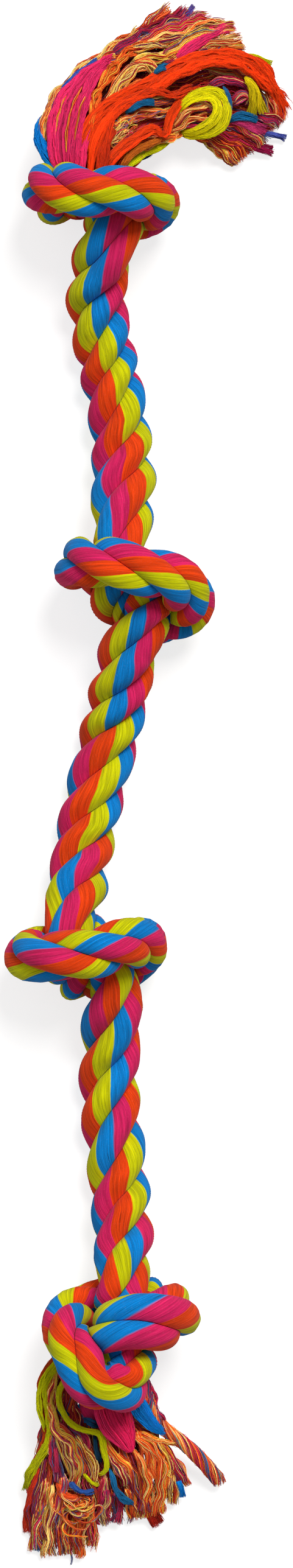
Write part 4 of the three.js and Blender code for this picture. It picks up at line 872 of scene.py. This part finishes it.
# the twisted arm that stands off to the right
ARM = [(232, 2256, 104), (242, 2290, 100), (250, 2322, 92), (268, 2346, 82), (295, 2366, 66), (320, 2388, 52), (342, 2412, 36), (364, 2437, 20)]
B("mixed_top", ARM, [12, 12, 12, 12, 12, 12, 12, 12], 150, wave=0.15, twist=1.7, fray=0.15, flat=0.9, short=0.05, mix=CORD)
r = bottom.rng
for _ in range(46):  # curls where loose ends have tangled
    far = abs(r.normal(0, 1))
    cx, cy, cz = 130 + r.normal(0, 9), 2476 + r.normal(0, 11), 64 + r.normal(0, 4) - 3 * far
    rx, ry, tip = 7 + 10 * far, 5 + 8 * far, r.uniform(-0.6, 0.6)
    a = r.uniform(0, 6.28) + np.linspace(0, r.uniform(2.0, 5.5), 14)
    grow = 1 + 0.25 * np.sin(2.3 * a + r.uniform(0, 6))
    ex, ey = rx * np.cos(a) * grow, ry * np.sin(a) * grow
    path = np.stack([cx + ex * np.cos(tip) - ey * np.sin(tip), cy + ex * np.sin(tip) + ey * np.cos(tip), np.maximum(cz + 4 * np.sin(a), 16)], 1)
    B("mixed_top", path, [1.0, 1.8, 1.2], 3, wave=0.35, fray=0.5, mix=EMBER if r.random() < 0.5 else MIXED, step=3.5, thick=0.65, dive=8.0)
B("mixed_top", [(112, 2520, 26), (114, 2548, 16), (119, 2562, 12), (115, 2573, 10)], [1, 1, 1], 4, wave=0.1, mix=[(SLATE, 1.0)])
H("yellow", [(112, 2206, 120), (88, 2242, 124), (70, 2268, 118), (64, 2288, 112), (64, 2308, 106), (69, 2332, 98), (76, 2352, 90)], [3, 3.5, 4.5, 4.5, 4.5, 4.5, 4], 46)
H("yellow", [(116, 2208, 122), (94, 2246, 126), (76, 2272, 121), (75, 2300, 114), (79, 2326, 106), (82, 2350, 98), (78, 2370, 90), (68, 2390, 78), (56, 2408, 64), (47, 2430, 46), (41, 2456, 22)], [3, 3.5, 4, 4, 4.5, 5, 6, 7, 8, 8, 6], 92)
H("yellow", [(134, 2238, 118), (106, 2268, 126), (96, 2298, 124), (102, 2318, 120), (113, 2335, 116), (130, 2347, 112), (150, 2352, 110), (163, 2354, 108), (169, 2372, 102), (173, 2394, 94), (175, 2412, 86), (170, 2421, 80), (160, 2420, 76)], [3, 4, 5, 5, 5, 5, 5, 5, 6, 6, 5, 4, 2], 76, wave=0.2)
H("yellow", [(134, 2416, 80), (144, 2430, 77), (156, 2438, 70), (168, 2438, 62)], [2, 3, 3, 2], 20, wave=0.7, sink=12.0)
H("orange", [(112, 2206, 112), (84, 2240, 114), (70, 2262, 106), (68, 2290, 100), (73, 2326, 92), (76, 2356, 84), (69, 2380, 72), (60, 2400, 58)], [4, 5, 6, 6, 7, 6, 6, 4], 72, dye=(222, 84, 26))
H("orange", [(74, 2396, 66), (66, 2416, 58), (60, 2440, 48), (53, 2466, 36), (48, 2490, 24), (49, 2520, 13)], [4, 8, 10, 11, 11, 9], 110, dye=(210, 56, 28))
H("orange", [(96, 2430, 72), (104, 2456, 66), (118, 2462, 68), (138, 2456, 66)], [4, 7, 7, 3], 50, dye=(240, 96, 40), sink=14.0)
H("orange", [(216, 2400, 70), (228, 2430, 56), (232, 2456, 42)], [6, 10, 7], 60, dye=(150, 26, 20))
H("orange", [(226, 2440, 40), (244, 2476, 26), (260, 2508, 13)], [9, 12, 12], 80, dye=(186, 40, 22))
H("orange", [(205, 2312, 112), (214, 2330, 112), (220, 2350, 104)], [4, 4, 3], 30, dye=(226, 110, 30))
# the tongue, these two hanks, in a pink brighter than the other pink hanks: the pink dye with painted light, where the
# last knot shades it
H("pink", [(164, 2264, 96), (169, 2296, 105), (178, 2326, 114), (192, 2350, 114), (206, 2368, 104), (216, 2386, 92)], [9, 14, 22, 23, 17, 4], 265, wave=0.15, short=0.04, dye=(255, 46, 116))
H("pink", [(178, 2266, 94), (196, 2300, 105), (204, 2330, 112), (212, 2354, 108), (217, 2380, 94)], [7, 10, 15, 12, 3], 112, wave=0.15, short=0.04, dye=(255, 44, 112))
H("pink", [(176, 2440, 70), (172, 2468, 54), (168, 2494, 30)], [4, 7, 8], 40, fray=0.6, dye=(186, 44, 92))
H("pink", [(90, 2374, 96), (92, 2400, 88), (94, 2422, 78)], [2, 4, 3], 26, dye=(198, 50, 90))
H("pink", [(72, 2440, 58), (66, 2470, 44), (58, 2496, 30)], [3, 5, 4], 26, dye=(160, 28, 50))
H("blue", [(184, 2258, 92), (214, 2286, 106), (226, 2308, 112), (238, 2326, 110), (252, 2342, 102), (272, 2356, 88)], [7, 10, 16, 16, 11, 3], 155, wave=0.15)
# this hank and the next: blue yarn darkened to deep blue-teal, painted shade low in the fan
H("blue", [(92, 2296, 104), (102, 2318, 104), (116, 2334, 100)], [5, 9, 5], 50, dye=(28, 78, 118), sink=14.0)
H("blue", [(138, 2330, 102), (150, 2338, 102), (164, 2344, 98)], [4, 7, 4], 40, dye=(28, 88, 138), sink=14.0)
H("blue", [(156, 2356, 98), (158, 2380, 90), (164, 2406, 80)], [3, 5, 5], 40, dye=(26, 76, 108), sink=14.0)
H("blue", [(112, 2432, 76), (128, 2446, 78), (144, 2452, 74), (160, 2450, 66)], [3, 6, 6, 3], 44, dye=(48, 92, 168), wave=0.7, sink=14.0)
H("blue", [(180, 2412, 84), (186, 2434, 80), (196, 2454, 70), (210, 2468, 58), (224, 2474, 50)], [2, 5, 6, 5, 2], 50, dye=TEAL, wave=0.7, sink=14.0)
H("blue", [(290, 2428, 48), (296, 2444, 36), (298, 2460, 20)], [4, 7, 8], 50, fray=0.7)
H("blue", [(64, 2474, 44), (60, 2506, 30), (62, 2550, 14)], [3, 6, 8], 40, fray=0.6, dye=(70, 112, 160))

for tassel, body, knot, start, end in (
    (top, "tassel_top", "knot_1", (150, 262, 100), (300, 170, 60)),
    (bottom, "tassel_bottom", "knot_4", (160, 2318, 70), (160, 2424, 50)),
):
    for group in tassel.groups:
        lots = tassel.lots(group)
        for i, lot in enumerate(lots):
            ob = tassel.build(f"{body}_{group}_yarns" + (f"_{i + 1}" if len(lots) > 1 else ""), lot, LOOSE)
            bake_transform(ob)
            if group in DYES:
                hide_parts(*[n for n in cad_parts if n.startswith(f"{body}_{group}_")][i :: len(lots)])

# ------------------------------------------------------------------ floor, light and camera
scene = bpy.context.scene
floor_mat = Nodes("floor")
speck = floor_mat.noise(floor_mat.node("ShaderNodeTexCoord").outputs[3], 3.0, 3.0)
matt = floor_mat.node("ShaderNodeBsdfDiffuse", {0: floor_mat.ramp(speck, [(0.3, (0.60, 0.60, 0.60, 1)), (0.7, (0.62, 0.62, 0.62, 1))])}).outputs[0]
glow = floor_mat.node("ShaderNodeEmission", {0: (1.0, 1.0, 1.0, 1), 1: 0.74}).outputs[0]
soft = floor_mat.node("ShaderNodeBsdfDiffuse", {0: floor_mat.ramp(speck, [(0.3, (0.40, 0.40, 0.40, 1)), (0.7, (0.41, 0.41, 0.41, 1))])}).outputs[0]
both = floor_mat.node("ShaderNodeAddShader", {0: soft, 1: glow}).outputs[0]
seen = floor_mat.node("ShaderNodeLightPath").outputs[0]
mixed = floor_mat.node("ShaderNodeMixShader", {0: seen, 1: matt, 2: both}).outputs[0]
floor_mat.tree.links.new(mixed, floor_mat.node("ShaderNodeOutputMaterial").inputs[0])
me = bpy.data.meshes.new("floor")
me.from_pydata([(-14, -14, 0), (14, -14, 0), (14, 14, 0), (-14, 14, 0)], [], [(0, 1, 2, 3)])
me.materials.append(floor_mat.mat)
floor = bpy.data.objects.new("floor", me)
scene.collection.objects.link(floor)

world = bpy.data.worlds.new("studio")
scene.world = world
world.use_nodes = True
world.node_tree.nodes["Background"].inputs[0].default_value = (1.0, 0.995, 0.985, 1)
world.node_tree.nodes["Background"].inputs[1].default_value = 0.26
sky = world.node_tree.nodes.new("ShaderNodeBackground")  # behind the floor's far edge, as white as the floor
sky.inputs[0].default_value, sky.inputs[1].default_value = (1.0, 1.0, 1.0, 1), 1.1
either, path_kind = world.node_tree.nodes.new("ShaderNodeMixShader"), world.node_tree.nodes.new("ShaderNodeLightPath")
for a, b in ((path_kind.outputs[0], either.inputs[0]), (world.node_tree.nodes["Background"].outputs[0], either.inputs[1]),
             (sky.outputs[0], either.inputs[2]), (either.outputs[0], world.node_tree.nodes["World Output"].inputs[0])):
    world.node_tree.links.new(a, b)


def sun(name, towards, strength, angle, colour):
    light = bpy.data.lights.new(name, "SUN")
    light.energy, light.angle, light.color = strength, math.radians(angle), colour
    ob = bpy.data.objects.new(name, light)
    v = np.array(towards, float)
    ob.rotation_mode = "QUATERNION"
    ob.rotation_quaternion = Vector(-v).to_track_quat("-Z", "Y")
    scene.collection.objects.link(ob)


sun("key", (0.30, 0.62, 1.0), 2.6, 24, (1.0, 0.985, 0.96))
sun("fill", (-0.6, 0.3, 1.0), 0.35, 60, (0.94, 0.97, 1.0))

cam = bpy.data.cameras.new("camera")
cam.type, cam.lens, cam.sensor_width, cam.sensor_fit = "PERSP", LENS, SENSOR, "AUTO"
cam.clip_start, cam.clip_end = 0.1, 60
camera = bpy.data.objects.new("camera", cam)
camera.location = ((VIEW_CENTRE[0] - ORIGIN[0]) * UNIT, (ORIGIN[1] - VIEW_CENTRE[1]) * UNIT, MID_HEIGHT + DISTANCE)
camera.rotation_euler = (0, 0, 0)
scene.collection.objects.link(camera)
scene.camera = camera
scene.view_settings.view_transform = "Standard"
scene.view_settings.look = "None"
